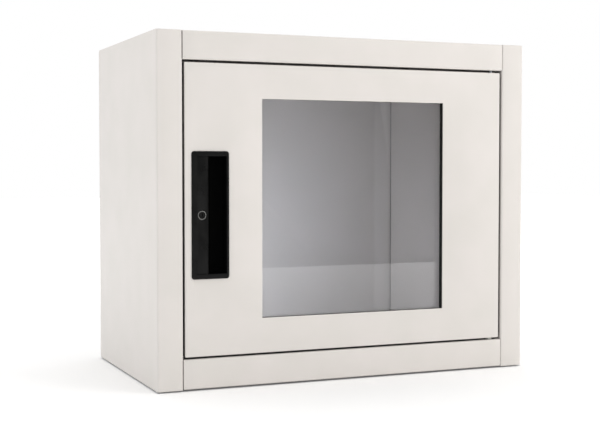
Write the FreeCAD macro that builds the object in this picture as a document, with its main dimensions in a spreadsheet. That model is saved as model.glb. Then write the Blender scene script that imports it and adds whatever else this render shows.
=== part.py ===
"""Wall cabinet with a glazed, lockable, pin-hung steel door.

Frame: +X to the right, +Y to the back, +Z up, millimetres.  The origin is in the plane that the
feet stand on, midway between the sides and midway between the handle's bezel and the back.  The
door faces -Y.
"""
import FreeCAD
import Part
import Sketcher
import os

V = FreeCAD.Vector
doc = FreeCAD.newDocument("WallCabinet")

# ---------------------------------------------------------------------------
# Driving dimensions
# ---------------------------------------------------------------------------
DIMENSIONS = {
    # outer shell
    "cabinet_width": 600.0,
    "cabinet_height": 508.0,
    "cabinet_depth": 342.0,
    "steel": 1.5,
    "bend_radius": 3.0,
    "stile_width": 38.0,
    "top_rail_height": 41.0,
    "bottom_rail_height": 43.5,
    "side_stop_width": 21.4,
    "rail_stop_height": 17.0,
    "rear_flange": 16.0,
    "liner_steel": 1.2,
    "liner_flange": 12.0,
    "seam_gap": 0.4,
    # feet
    "foot_height": 2.0,
    "foot_radius": 10.0,
    "foot_inset": 34.0,
    # door
    "lock_side_gap": 3.0,
    "hinge_side_gap": 4.0,
    "top_gap": 3.6,
    "bottom_gap": 3.0,
    "door_setback": 0.5,
    "door_thickness": 18.0,
    "door_steel": 1.5,
    "door_lip": 14.0,
    "hinge_lip": 20.0,
    "seal_width": 5.0,
    "seal_thickness": 6.2,
    "seal_inset": 5.0,
    "seal_gap": 0.3,
    # window
    "window_left": 116.6,
    "window_right": 101.7,
    "window_top": 49.3,
    "window_bottom": 50.8,
    "gasket_depth": 8.0,
    "glass_overlap": 12.0,
    "glass_thickness": 4.0,
    "retainer_steel": 1.2,
    "retainer_flange": 14.0,
    "retainer_stud_radius": 2.0,
    "retainer_stud_length": 9.0,
    # hinge
    "swing_clearance": 0.8,
    "pin_radius": 3.0,
    "running_fit": 0.05,
    "bracket_thickness": 3.0,
    "lower_pin_reach": 9.0,
    "upper_pin_reach": 4.0,
    "pin_travel": 8.0,
    "bush_wall": 2.0,
    "collar_height": 5.0,
    "spring_length": 21.0,
    "spring_wire": 1.4,
    "guide_thickness": 2.0,
    "finger_reach": 19.0,
    "bracket_reach": 9.0,
    # handle and lock
    "handle_width": 56.1,
    "handle_height": 181.7,
    "handle_inset": 9.7,
    "handle_above_base": 110.3,
    "bezel_proud": 1.8,
    "bezel_border": 8.1,
    "bezel_end": 7.0,
    "land_width": 17.8,
    "cup_border": 3.9,
    "cup_depth": 19.0,
    "cup_wall": 2.0,
    "lock_plate_thickness": 1.0,
    "handle_screw_radius": 1.5,
    "handle_screw_inset": 7.0,
    "clamp_width": 10.0,
    "clamp_reach": 8.0,
    "clamp_overlap": 4.0,
    "lock_radius": 7.0,
    "lock_inset": 7.8,
    "lock_setback": 0.5,
    "boss_depth": 8.0,
    "plug_radius": 5.0,
    "plug_square": 6.0,
    "keyway_width": 1.2,
    "keyway_depth": 12.0,
    "clip_thickness": 1.2,
    "clip_bite": 0.6,
    "clip_tail": 2.0,
    "cam_gap": 0.6,
    "cam_slot_spare": 6.0,
    "cam_screw_height": 2.5,
    "cam_length": 24.0,
    "cam_width": 10.0,
    "cam_thickness": 2.5,
    # cable entry and fixings
    "gland_width": 220.0,
    "gland_depth": 100.0,
    "gland_margin": 16.0,
    "gland_from_back": 112.0,
    "gland_gasket": 2.0,
    "gland_screw_radius": 2.5,
    "grommet_bore": 8.0,
    "grommet_wall": 4.0,
    "grommet_spacing": 100.0,
    "wall_hole_radius": 4.5,
    "wall_hole_spacing_x": 420.0,
    "wall_hole_spacing_z": 420.0,
    "earth_radius": 3.0,
    "earth_margin": 40.0,
    "cabinet_earth_length": 16.0,
    "door_earth_length": 12.0,
    "clearance": 0.4,
}


class Size:
    """A length that carries its value and the sheet expression that gives it."""

    def __init__(self, value, text):
        self.value = float(value)
        self.text = text

    def __add__(self, other):
        other = as_size(other)
        return Size(self.value + other.value, f"({self.text} + {other.text})")

    def __sub__(self, other):
        other = as_size(other)
        return Size(self.value - other.value, f"({self.text} - {other.text})")

    def __mul__(self, other):
        other = as_size(other)
        return Size(self.value * other.value, f"({self.text} * {other.text})")

    def __truediv__(self, other):
        other = as_size(other)
        return Size(self.value / other.value, f"({self.text} / {other.text})")

    def __radd__(self, other):
        return as_size(other) + self

    def __rsub__(self, other):
        return as_size(other) - self

    def __rmul__(self, other):
        return as_size(other) * self

    def __neg__(self):
        return Size(-self.value, f"(0 - {self.text})")


def as_size(number):
    if isinstance(number, Size):
        return number
    return Size(number, repr(float(number)))


sheet = doc.addObject("Spreadsheet::Sheet", "Sizes")
for row, (alias, value) in enumerate(DIMENSIONS.items(), start=1):
    sheet.set(f"A{row}", alias.replace("_", " "))
    sheet.set(f"B{row}", str(value))
    sheet.setAlias(f"B{row}", alias)
doc.recompute()


class Dimensions:
    """Reads every alias of the sheet as a Size, such as dim.steel."""

    def __getattr__(self, alias):
        return Size(DIMENSIONS[alias], f"Sizes.{alias}")


dim = Dimensions()

# ---------------------------------------------------------------------------
# Building blocks
# ---------------------------------------------------------------------------
nodes = {}
AXIS_TURN = {
    "x": FreeCAD.Rotation(V(0, 1, 0), 90),
    "y": FreeCAD.Rotation(V(1, 0, 0), -90),
    "z": FreeCAD.Rotation(),
}


def node(name, obj):
    """Label an object as a finished sub-part."""
    obj.Label = name
    nodes[name] = obj
    return obj


def place(obj, corner):
    """Bind an object's position to the sheet."""
    for letter, size in zip("xyz", corner):
        obj.setExpression(f"Placement.Base.{letter}", as_size(size).text)


def box(name, x_span, y_span, z_span):
    """Box between two places along each axis."""
    obj = doc.addObject("Part::Box", name)
    spans = (x_span, y_span, z_span)
    for side, (low, high) in zip(("Length", "Width", "Height"), spans):
        obj.setExpression(side, (as_size(high) - low).text)
    place(obj, [low for low, high in spans])
    return obj


def cylinder(name, centre, radius, length, axis="z"):
    """Cylinder that starts at centre and runs along +axis."""
    obj = doc.addObject("Part::Cylinder", name)
    obj.setExpression("Radius", as_size(radius).text)
    obj.setExpression("Height", as_size(length).text)
    obj.Placement = FreeCAD.Placement(V(0, 0, 0), AXIS_TURN[axis])
    place(obj, centre)
    return obj


def hexagon(name, centre, radius, length, axis="z"):
    """Hexagonal prism with its corners at radius."""
    obj = doc.addObject("Part::Prism", name)
    obj.Polygon = 6
    obj.setExpression("Circumradius", as_size(radius).text)
    obj.setExpression("Height", as_size(length).text)
    obj.Placement = FreeCAD.Placement(V(0, 0, 0), AXIS_TURN[axis])
    place(obj, centre)
    return obj


def fuse(name, pieces):
    obj = doc.addObject("Part::MultiFuse", name)
    obj.Shapes = pieces
    return obj


def group(name, pieces):
    """Separate solids that share one node."""
    obj = doc.addObject("Part::Compound", name)
    obj.Links = pieces
    return obj


def cut(name, base, tools):
    obj = doc.addObject("Part::Cut", name)
    obj.Base = base
    obj.Tool = tools[0] if len(tools) == 1 else fuse(name + "_tools", tools)
    return obj


def ring(name, outer, inner, y_span):
    """Rectangular ring in the plane of the door: outer and inner are (x_span, z_span)."""
    slab = box(name + "_slab", outer[0], y_span, outer[1])
    low, high = y_span
    hole = box(name + "_hole", inner[0], (low - 1, high + 1), inner[1])
    return cut(name, slab, [hole])


def grown(window, margin):
    """A (x_span, z_span) pair made larger all round."""
    return tuple((low - margin, high + margin) for low, high in window)


def outline_sketch(body, name, plane, start, outline):
    """Closed sketch of straight lines, every corner bound to the sheet."""
    sketch = body.newObject("Sketcher::SketchObject", name)
    origin_plane = [f for f in body.Origin.OriginFeatures if f.Role == plane][0]
    sketch.AttachmentSupport = [(origin_plane, "")]
    sketch.MapMode = "FlatFace"
    sketch.setExpression("AttachmentOffset.Base.z", as_size(start).text)
    corners = [V(as_size(across).value, as_size(up).value, 0) for across, up in outline]
    count = len(corners)
    for i in range(count):
        sketch.addGeometry(Part.LineSegment(corners[i], corners[(i + 1) % count]), False)
    for i in range(count):
        sketch.addConstraint(Sketcher.Constraint("Coincident", i, 2, (i + 1) % count, 1))
    for i, (across, up) in enumerate(outline):
        for kind, size in (("DistanceX", as_size(across)), ("DistanceY", as_size(up))):
            mark = sketch.addConstraint(Sketcher.Constraint(kind, -1, 1, i, 1, size.value))
            sketch.renameConstraint(mark, f"{kind}_{i}")
            sketch.setExpression(f"Constraints.{kind}_{i}", size.text)
    return sketch


def rectangle(x_span, z_span):
    (left, right), (low, high) = x_span, z_span
    return [(left, low), (right, low), (right, high), (left, high)]


def pad(body, sketch, length):
    feature = body.newObject("PartDesign::Pad", sketch.Name + "_pad")
    feature.Profile = sketch
    feature.setExpression("Length", as_size(length).text)
    doc.recompute()
    return feature


def pocket(body, sketch, length):
    """Cut from the sketch's plane against its normal, and make sure that it took metal away."""
    before = body.Shape.Volume
    feature = body.newObject("PartDesign::Pocket", sketch.Name + "_pocket")
    feature.Profile = sketch
    feature.setExpression("Length", as_size(length).text)
    doc.recompute()
    if body.Shape.Volume >= before:
        raise RuntimeError(f"{sketch.Name} cuts nothing")
    return feature


def round_edges(body, name, radius, wanted):
    """Fillet the edges of the body's tip for which wanted(edge) is true."""
    tip = body.Tip
    edges = [f"Edge{n}" for n, edge in enumerate(tip.Shape.Edges, start=1) if wanted(edge)]
    if not edges:
        raise RuntimeError(f"{name} finds no edge")
    feature = body.newObject("PartDesign::Fillet", name)
    feature.Base = (tip, edges)
    feature.setExpression("Radius", as_size(radius).text)
    doc.recompute()
    return feature


def folded(name, plane, outline, start, length, bends):
    """Sheet-metal section, swept straight, with its bends rounded.

    outline holds (across, up) places, and bends holds (radius, corner numbers).
    """
    body = doc.addObject("PartDesign::Body", name)
    sketch = outline_sketch(body, name + "_section", plane, start, outline)
    pad(body, sketch, length)
    direction = sketch.Placement.Rotation.multVec(V(0, 0, 1))
    for step, (radius, numbers) in enumerate(bends):
        places = []
        for number in numbers:
            across, up = outline[number]
            places.append(sketch.Placement.multVec(V(as_size(across).value, as_size(up).value, 0)))

        def at_a_bend(edge):
            ends = [vertex.Point for vertex in edge.Vertexes]
            if len(ends) < 2 or abs((ends[1] - ends[0]).normalize().dot(direction)) < 0.999:
                return False
            return any(ends[0].distanceToLine(spot, direction) < 1e-4 for spot in places)

        round_edges(body, f"{name}_bend_{step}", radius, at_a_bend)
    return body


# ---------------------------------------------------------------------------
# Places that more than one sub-part uses
# ---------------------------------------------------------------------------
half_width = dim.cabinet_width / 2
bezel_stand = dim.bezel_proud - dim.door_setback
front = (bezel_stand - dim.cabinet_depth) / 2
back = front + dim.cabinet_depth
base = dim.foot_height
top = base + dim.cabinet_height
steel = dim.steel
inner_bend = dim.bend_radius - steel

jamb_x = half_width - dim.stile_width
liner_x = jamb_x - dim.side_stop_width
door_front = front + dim.door_setback
door_back = door_front + dim.door_thickness
stop_front = door_back + dim.seal_thickness + dim.seal_gap
stop_back = stop_front + steel
lintel_z = top - dim.top_rail_height
sill_z = base + dim.bottom_rail_height
rear_inside = back - steel
flange_front = rear_inside - steel

door_left = -jamb_x + dim.lock_side_gap
door_right = jamb_x - dim.hinge_side_gap
door_bottom = sill_z + dim.bottom_gap
door_top = lintel_z - dim.top_gap
skin_back = door_front + dim.door_steel

window = (
    (door_left + dim.window_left, door_right - dim.window_right),
    (door_bottom + dim.window_bottom, door_top - dim.window_top),
)
glass_front = skin_back + dim.gasket_depth
glass_back = glass_front + dim.glass_thickness

# the pin stands where the door's rear corner just clears the jamb as it swings past it
hinge_y = (front + door_back) / 2 - dim.door_setback / 2
corner_depth = door_back - hinge_y
swing_room = dim.hinge_side_gap - dim.swing_clearance
hinge_x = door_right - (corner_depth * corner_depth - swing_room * swing_room) / (swing_room * 2)
pin_bore = dim.pin_radius + dim.running_fit

handle_left = door_left + dim.handle_inset
handle_right = handle_left + dim.handle_width
handle_bottom = door_bottom + dim.handle_above_base
handle_top = handle_bottom + dim.handle_height
bezel_front = door_front - dim.bezel_proud
land_left = handle_left + dim.bezel_border
land_right = land_left + dim.land_width
cup_right = handle_right - dim.cup_border
land_low = handle_bottom + dim.bezel_end
land_high = handle_top - dim.bezel_end
lock_x = land_left + dim.lock_inset
lock_z = (handle_bottom + handle_top) / 2
lock_front = door_front + dim.lock_setback
boss_back = door_front + dim.boss_depth
cam_front = stop_back + dim.cam_gap
cam_back = cam_front + dim.cam_thickness


# ---------------------------------------------------------------------------
# Cabinet shell
# ---------------------------------------------------------------------------
def side_shell(name, side):
    """Outer side, front stile, jamb, door stop and rear flange, folded from one sheet.

    side is -1 for the left and +1 for the right.
    """
    outline = [
        (side * half_width, rear_inside),
        (side * half_width, front),
        (side * jamb_x, front),
        (side * jamb_x, stop_front),
        (side * liner_x, stop_front),
        (side * liner_x, stop_back),
        (side * (jamb_x + steel), stop_back),
        (side * (jamb_x + steel), front + steel),
        (side * (half_width - steel), front + steel),
        (side * (half_width - steel), flange_front),
        (side * (half_width - dim.rear_flange), flange_front),
        (side * (half_width - dim.rear_flange), rear_inside),
    ]
    bends = [(dim.bend_radius, (0, 1, 2, 6)), (inner_bend, (3, 7, 8, 9))]
    body = folded(name + "_sheet", "XY_Plane", outline, base, dim.cabinet_height, bends)
    inner_span = sorted((side * (half_width - steel), side * (liner_x - 1)), key=lambda s: s.value)
    depth_span = (front + steel, back)
    notches = [
        box(name + "_top_notch", inner_span, depth_span, (top - steel, top + 1)),
        box(name + "_base_notch", inner_span, depth_span, (base - 1, base + steel)),
    ]
    node(name, cut(name, body, notches))


def rail_shell(name, outer_z, edge_z, up):
    """Top or bottom sheet with its front rail, reveal, door stop and rear flange.

    outer_z is the outside of the sheet, edge_z the rail's edge beside the door, and up is +1
    where the sheet lies above its rail and -1 where it lies below.
    """
    inner_z = outer_z - up * steel
    stop_end = edge_z - up * dim.rail_stop_height
    outline = [
        (front, outer_z),
        (rear_inside, outer_z),
        (rear_inside, outer_z - up * dim.rear_flange),
        (flange_front, outer_z - up * dim.rear_flange),
        (flange_front, inner_z),
        (front + steel, inner_z),
        (front + steel, edge_z + up * steel),
        (stop_back, edge_z + up * steel),
        (stop_back, stop_end),
        (stop_front, stop_end),
        (stop_front, edge_z),
        (front, edge_z),
    ]
    bends = [(dim.bend_radius, (0, 1, 7, 11)), (inner_bend, (4, 5, 6, 10))]
    reach = half_width - steel - dim.seam_gap / 4
    body = folded(name + "_sheet", "YZ_Plane", outline, -reach, reach * 2, bends)
    rail_reach = jamb_x - dim.seam_gap
    stop_reach = liner_x - dim.seam_gap
    flange_reach = half_width - dim.rear_flange - dim.seam_gap
    tools = []
    for side, tag in ((-1, "left"), (1, "right")):
        def span(near, far):
            return (-far, -near) if side < 0 else (near, far)

        def heights(low, high):
            return (low, high) if up > 0 else (high, low)

        tools.append(box(f"{name}_{tag}_rail_end", span(rail_reach, half_width),
                         (front - 1, front + steel),
                         heights(edge_z - up, outer_z + up)))
        tools.append(box(f"{name}_{tag}_reveal_end", span(rail_reach, half_width),
                         (front - 1, stop_back + 1),
                         heights(edge_z - up, edge_z + up * steel * 2)))
        tools.append(box(f"{name}_{tag}_stop_end", span(stop_reach, half_width),
                         (stop_front - dim.seam_gap, stop_back + 1),
                         heights(stop_end - up, edge_z + up * steel * 2)))
        tools.append(box(f"{name}_{tag}_flange_end", span(flange_reach, half_width),
                         (flange_front, back), heights(outer_z - up * dim.rear_flange * 2, inner_z)))
    return body, tools


def top_shell():
    body, tools = rail_shell("top_shell", top, lintel_z, 1)
    tools.append(cylinder("lintel_pin_hole", (hinge_x, hinge_y, lintel_z - 1), pin_bore, steel + 2))
    node("top_shell", cut("top_shell", body, tools))


gland_x = (-(dim.gland_width / 2), dim.gland_width / 2)
gland_centre = back - dim.gland_from_back
gland_y = (gland_centre - dim.gland_depth / 2, gland_centre + dim.gland_depth / 2)
floor_z = base + steel
gland_z = floor_z + dim.gland_gasket
gland_top = gland_z + steel
screw_radius = dim.gland_screw_radius
screw_places = [
    (side_x * (dim.gland_width / 2 + dim.gland_margin / 2),
     gland_centre + side_y * (dim.gland_depth / 2 + dim.gland_margin / 2))
    for side_x in (-1, 1) for side_y in (-1, 1)
]


def bottom_shell():
    body, tools = rail_shell("bottom_shell", base, sill_z, -1)
    tools.append(cylinder("sill_pin_hole", (hinge_x, hinge_y, sill_z - steel - 1), dim.pin_radius,
                          steel + 2))
    tools.append(box("cable_cutout", gland_x, gland_y, (base - 1, floor_z + 1)))
    for i, (x, y) in enumerate(screw_places):
        tools.append(cylinder(f"cable_screw_hole_{i}", (x, y, base - 1), screw_radius, steel + 2))
    node("bottom_shell", cut("bottom_shell", body, tools))


def back_panel():
    """Flat rear sheet with the four wall-fixing holes."""
    inset = dim.seam_gap
    plate = box("back_plate", (-half_width + inset, half_width - inset), (rear_inside, back),
                (base + inset, top - inset))
    holes = []
    middle = base + dim.cabinet_height / 2
    for side_x in (-1, 1):
        for side_z in (-1, 1):
            centre = (side_x * dim.wall_hole_spacing_x / 2, rear_inside - 1,
                      middle + side_z * dim.wall_hole_spacing_z / 2)
            holes.append(cylinder("wall_hole", centre, dim.wall_hole_radius, steel + 2, "y"))
    node("back_panel", cut("back_panel", plate, holes))


def liner(name, side):
    """Inner side wall: a channel behind the door stop.  The left one lets the cam through."""
    skin = dim.liner_steel
    flange = dim.liner_flange
    outline = [
        (side * liner_x, stop_back),
        (side * liner_x, flange_front),
        (side * (liner_x + flange), flange_front),
        (side * (liner_x + flange), flange_front - skin),
        (side * (liner_x + skin), flange_front - skin),
        (side * (liner_x + skin), stop_back + skin),
        (side * (liner_x + flange), stop_back + skin),
        (side * (liner_x + flange), stop_back),
    ]
    bends = [(skin * 2, (0, 1)), (skin, (4, 5))]
    low = floor_z + inner_bend
    height = dim.cabinet_height - (steel + inner_bend) * 2
    body = folded(name + "_sheet", "XY_Plane", outline, low, height, bends)
    if side > 0:
        node(name, body)
        return
    slot = box("cam_slot", (-half_width, -liner_x + 1), (stop_back - 1, cam_back + dim.cam_slot_spare),
               (lock_z - dim.cam_width, lock_z + dim.cam_length + dim.cam_width))
    node(name, cut(name, body, [slot]))


def gland_plate():
    """Removable cable plate with its gasket, screws and two grommets."""
    reach = dim.gland_margin
    x_span = (gland_x[0] - reach, gland_x[1] + reach)
    y_span = (gland_y[0] - reach, gland_y[1] + reach)
    plate = box("gland_sheet", x_span, y_span, (gland_z, gland_top))
    pad_slab = box("gland_pad", x_span, y_span, (floor_z, gland_z))
    pad_hole = box("gland_pad_hole", gland_x, gland_y, (floor_z - 1, gland_z + 1))
    plate_holes = []
    gasket_holes = [pad_hole]
    screws = []
    for i, (x, y) in enumerate(screw_places):
        plate_holes.append(cylinder(f"gland_hole_{i}", (x, y, gland_z - 1), screw_radius, steel + 2))
        gasket_holes.append(cylinder(f"pad_hole_{i}", (x, y, floor_z - 1), screw_radius,
                                     dim.gland_gasket + 2))
        shank = cylinder(f"gland_shank_{i}", (x, y, base), screw_radius, gland_top - base)
        head = cylinder(f"gland_head_{i}", (x, y, gland_top), screw_radius * 2, screw_radius)
        screws.append(fuse(f"gland_screw_{i}", [shank, head]))
    grommets = []
    neck = dim.grommet_bore + dim.grommet_wall
    for tag, side in (("left", -1), ("right", 1)):
        centre = (side * dim.grommet_spacing / 2, gland_centre)
        plate_holes.append(cylinder(f"{tag}_neck_hole", (*centre, gland_z - 1), neck, steel + 2))
        lip = dim.grommet_wall / 2
        parts = [
            cylinder(f"{tag}_neck", (*centre, gland_z), neck, steel),
            cylinder(f"{tag}_upper_lip", (*centre, gland_top), neck + lip, lip),
            cylinder(f"{tag}_lower_lip", (*centre, gland_z - lip), neck + lip, lip),
        ]
        bore = cylinder(f"{tag}_bore", (*centre, gland_z - 5), dim.grommet_bore, steel + 10)
        grommets.append(cut(f"{tag}_grommet", fuse(f"{tag}_grommet_body", parts), [bore]))
    node("gland_plate", cut("gland_plate", plate, plate_holes))
    node("gland_gasket", cut("gland_gasket", pad_slab, gasket_holes))
    node("gland_screws", group("gland_screws", screws))
    node("cable_grommets", group("cable_grommets", grommets))


def feet():
    across = half_width - dim.foot_inset
    pads = []
    for x in (-across, across):
        for y in (front + dim.foot_inset, back - dim.foot_inset):
            pads.append(cylinder("foot", (x, y, 0), dim.foot_radius, dim.foot_height))
    node("rubber_feet", group("rubber_feet", pads))


def earth_point(prefix, centre, length, axis, nut_step):
    """Welded stud with its nut."""
    stud = cylinder(prefix + "_earth_stud", centre, dim.earth_radius, length, axis)
    node(prefix + "_earth_stud", stud)
    nut_centre = [as_size(size) for size in centre]
    letter = "xyz".index(axis)
    nut_centre[letter] = nut_centre[letter] + nut_step
    thickness = dim.earth_radius * 1.6
    body = hexagon(prefix + "_earth_nut_body", nut_centre, dim.earth_radius * 1.92, thickness, axis)
    hole_centre = list(nut_centre)
    hole_centre[letter] = hole_centre[letter] - 1
    hole = cylinder(prefix + "_earth_nut_hole", hole_centre, dim.earth_radius, thickness + 2, axis)
    node(prefix + "_earth_nut", cut(prefix + "_earth_nut", body, [hole]))


# ---------------------------------------------------------------------------
# Hinge
# ---------------------------------------------------------------------------
def hinge_bracket(name, low, bore):
    """Thick plate welded behind the rail that holds a pin."""
    plate = box(name + "_plate", (hinge_x - dim.bracket_reach, hinge_x + dim.bracket_reach),
                (front + steel * 2, stop_front - steel), (low, low + dim.bracket_thickness))
    hole = cylinder(name + "_bore", (hinge_x, hinge_y, low - 1), bore, dim.bracket_thickness + 2)
    node(name, cut(name, plate, [hole]))


def lower_hinge():
    sill_under = sill_z - steel
    bracket_low = sill_under - dim.bracket_thickness
    hinge_bracket("lower_hinge_bracket", bracket_low, dim.pin_radius)
    pin_low = bracket_low - dim.pin_radius
    pin = cylinder("lower_hinge_pin", (hinge_x, hinge_y, pin_low), dim.pin_radius,
                   door_bottom + dim.lower_pin_reach - pin_low)
    node("lower_hinge_pin", pin)
    spacer_height = dim.bottom_gap - dim.clearance
    disc = cylinder("spacer_disc", (hinge_x, hinge_y, sill_z), dim.pin_radius + dim.bush_wall, spacer_height)
    hole = cylinder("spacer_hole", (hinge_x, hinge_y, sill_z - 1), dim.pin_radius, spacer_height + 2)
    node("hinge_spacer", cut("hinge_spacer", disc, [hole]))
    # nylon bush in the door's lower edge, with its collar inside the door
    parts = [
        cylinder("bush_neck", (hinge_x, hinge_y, door_bottom), dim.pin_radius + dim.bush_wall,
                 dim.door_steel),
        cylinder("bush_collar", (hinge_x, hinge_y, door_bottom + dim.door_steel),
                 hinge_y - skin_back, dim.lower_pin_reach),
    ]
    bore = cylinder("bush_bore", (hinge_x, hinge_y, door_bottom - 1), pin_bore,
                    dim.lower_pin_reach + 1 + dim.running_fit * 4)
    node("lower_hinge_bush", cut("lower_hinge_bush", fuse("bush_body", parts), [bore]))


pin_shoulder = door_top - dim.door_steel
spring_top = pin_shoulder - dim.collar_height
spring_base = spring_top - dim.spring_length
guide_low = spring_base - dim.guide_thickness


def upper_hinge():
    """Spring-loaded pin in the door's top edge, drawn down by its finger bar."""
    hinge_bracket("upper_hinge_bracket", lintel_z + steel, pin_bore)
    pin_top = lintel_z + dim.upper_pin_reach
    bar_low = guide_low - dim.pin_travel - dim.pin_radius * 2
    pin_low = bar_low
    pin = fuse("upper_hinge_pin", [
        cylinder("pin_rod", (hinge_x, hinge_y, pin_low), dim.pin_radius, pin_top - pin_low),
        cylinder("pin_collar", (hinge_x, hinge_y, spring_top), dim.pin_radius + dim.bush_wall,
                 dim.collar_height - dim.clearance),
        cylinder("finger_bar", (hinge_x - dim.finger_reach, hinge_y, pin_low + dim.pin_radius),
                 dim.pin_radius, dim.finger_reach, "x"),
    ])
    node("upper_hinge_pin", pin)
    spring_bore = dim.pin_radius + dim.clearance
    spring = cylinder("spring_outside", (hinge_x, hinge_y, spring_base),
                      spring_bore + dim.spring_wire, dim.spring_length)
    hollow = cylinder("spring_inside", (hinge_x, hinge_y, spring_base - 1), spring_bore,
                      dim.spring_length + 2)
    node("hinge_spring", cut("hinge_spring", spring, [hollow]))
    # angle bracket on the door's skin that the spring stands on
    guide_span = (hinge_x - dim.bracket_reach, hinge_x + dim.bracket_reach - 1)
    shelf = box("guide_shelf", guide_span, (skin_back, hinge_y + dim.pin_radius + dim.bush_wall),
                (guide_low, spring_base))
    leg = box("guide_leg", guide_span, (skin_back, skin_back + dim.liner_steel),
              (guide_low, guide_low + dim.bracket_reach * 2))
    bore = cylinder("guide_bore", (hinge_x, hinge_y, guide_low - 1), pin_bore,
                    dim.guide_thickness + 2)
    node("pin_guide", cut("pin_guide", fuse("guide_body", [shelf, leg]), [bore]))


# ---------------------------------------------------------------------------
# Door and window
# ---------------------------------------------------------------------------
def door_panel():
    """Pan folded from one sheet, with the openings for the window and the handle."""
    body = doc.addObject("PartDesign::Body", "door_pan")
    door_steel = dim.door_steel
    outer = rectangle((door_left, door_right), (door_bottom, door_top))
    inner = rectangle((door_left + door_steel, door_right - door_steel),
                      (door_bottom + door_steel, door_top - door_steel))
    rear = rectangle((door_left + dim.door_lip, door_right - dim.hinge_lip),
                     (door_bottom + dim.door_lip, door_top - dim.door_lip))
    # the sketch plane's normal is -Y: pads run forwards and pockets backwards
    pad(body, outline_sketch(body, "door_outer", "XZ_Plane", -door_back, outer), dim.door_thickness)

    def folded_edge(edge):
        low, high = edge.BoundBox.YMin, edge.BoundBox.YMax
        return abs(high - door_front.value) < 1e-4 and abs(low - door_front.value) < 1e-4

    round_edges(body, "door_bend", dim.bend_radius - dim.clearance, folded_edge)
    cavity = dim.door_thickness - door_steel * 2
    pocket(body, outline_sketch(body, "door_cavity", "XZ_Plane", -skin_back, inner), cavity)
    pocket(body, outline_sketch(body, "door_rear", "XZ_Plane", -skin_back, rear), dim.door_thickness)
    pocket(body, outline_sketch(body, "door_window", "XZ_Plane", -(door_front - 1),
                                rectangle(*window)), dim.door_steel + 2)
    opening = rectangle((handle_left + dim.cup_wall, handle_right - dim.cup_wall),
                        (handle_bottom + dim.cup_wall, handle_top - dim.cup_wall))
    pocket(body, outline_sketch(body, "door_handle", "XZ_Plane", -(door_front - 1), opening),
           dim.door_steel + 2)
    pin_holes = [
        cylinder("door_top_hole", (hinge_x, hinge_y, door_top - dim.door_steel - 1), pin_bore,
                 dim.door_steel + 2),
        cylinder("door_base_hole", (hinge_x, hinge_y, door_bottom - 1),
                 dim.pin_radius + dim.bush_wall, dim.door_steel + 2),
    ]
    node("door_panel", cut("door_panel", body, pin_holes))


def window_parts():
    """Gasket against the skin, pane, and the retaining frame with its studs and nuts."""
    x_span, z_span = window
    pane = grown(window, dim.glass_overlap)
    node("window_gasket", ring("window_gasket", pane, window, (skin_back, glass_front)))
    node("window_pane", box("window_pane", pane[0], (glass_front, glass_back), pane[1]))
    skin = dim.retainer_steel
    wall_inner = grown(pane, dim.clearance)
    wall_outer = grown(wall_inner, skin)
    flange = grown(wall_outer, dim.retainer_flange)
    lip_inner = grown(window, dim.cup_wall)
    rings = [
        ring("retainer_foot", flange, wall_inner, (skin_back, skin_back + skin)),
        ring("retainer_wall", wall_outer, wall_inner, (skin_back, glass_back + skin)),
        ring("retainer_lip", wall_outer, lip_inner, (glass_back, glass_back + skin)),
    ]
    stud_holes = []
    studs = []
    nuts = []
    radius = dim.retainer_stud_radius
    margin = dim.glass_overlap + dim.clearance + skin + dim.retainer_flange / 2
    middle = ((x_span[0] + x_span[1]) / 2, (z_span[0] + z_span[1]) / 2)
    places = []
    for x in (x_span[0] - margin, middle[0], x_span[1] + margin):
        for z in (z_span[0] - margin, middle[1], z_span[1] + margin):
            if x is not middle[0] or z is not middle[1]:
                places.append((x, z))
    for i, (x, z) in enumerate(places):
        foot = skin_back + skin
        studs.append(cylinder(f"window_stud_{i}", (x, skin_back, z), radius,
                              dim.retainer_stud_length, "y"))
        stud_holes.append(cylinder(f"stud_hole_{i}", (x, skin_back - 1, z), radius, skin + 2, "y"))
        nut = hexagon(f"nut_body_{i}", (x, foot, z), radius * 2, radius * 1.6, "y")
        hole = cylinder(f"nut_hole_{i}", (x, foot - 1, z), radius, radius * 1.6 + 2, "y")
        nuts.append(cut(f"window_nut_{i}", nut, [hole]))
    node("window_retainer", cut("window_retainer", fuse("retainer_body", rings), stud_holes))
    node("retainer_studs", group("retainer_studs", studs))
    node("retainer_nuts", group("retainer_nuts", nuts))


def door_seal():
    """Foam strip on the door's lip, all of it on the closing side of the hinge axis."""
    inset = dim.seal_inset
    outer = ((door_left + inset, hinge_x - dim.clearance), (door_bottom + inset, door_top - inset))
    inner = grown(outer, -dim.seal_width)
    node("door_seal", ring("door_seal", outer, inner, (door_back, door_back + dim.seal_thickness)))


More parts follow.
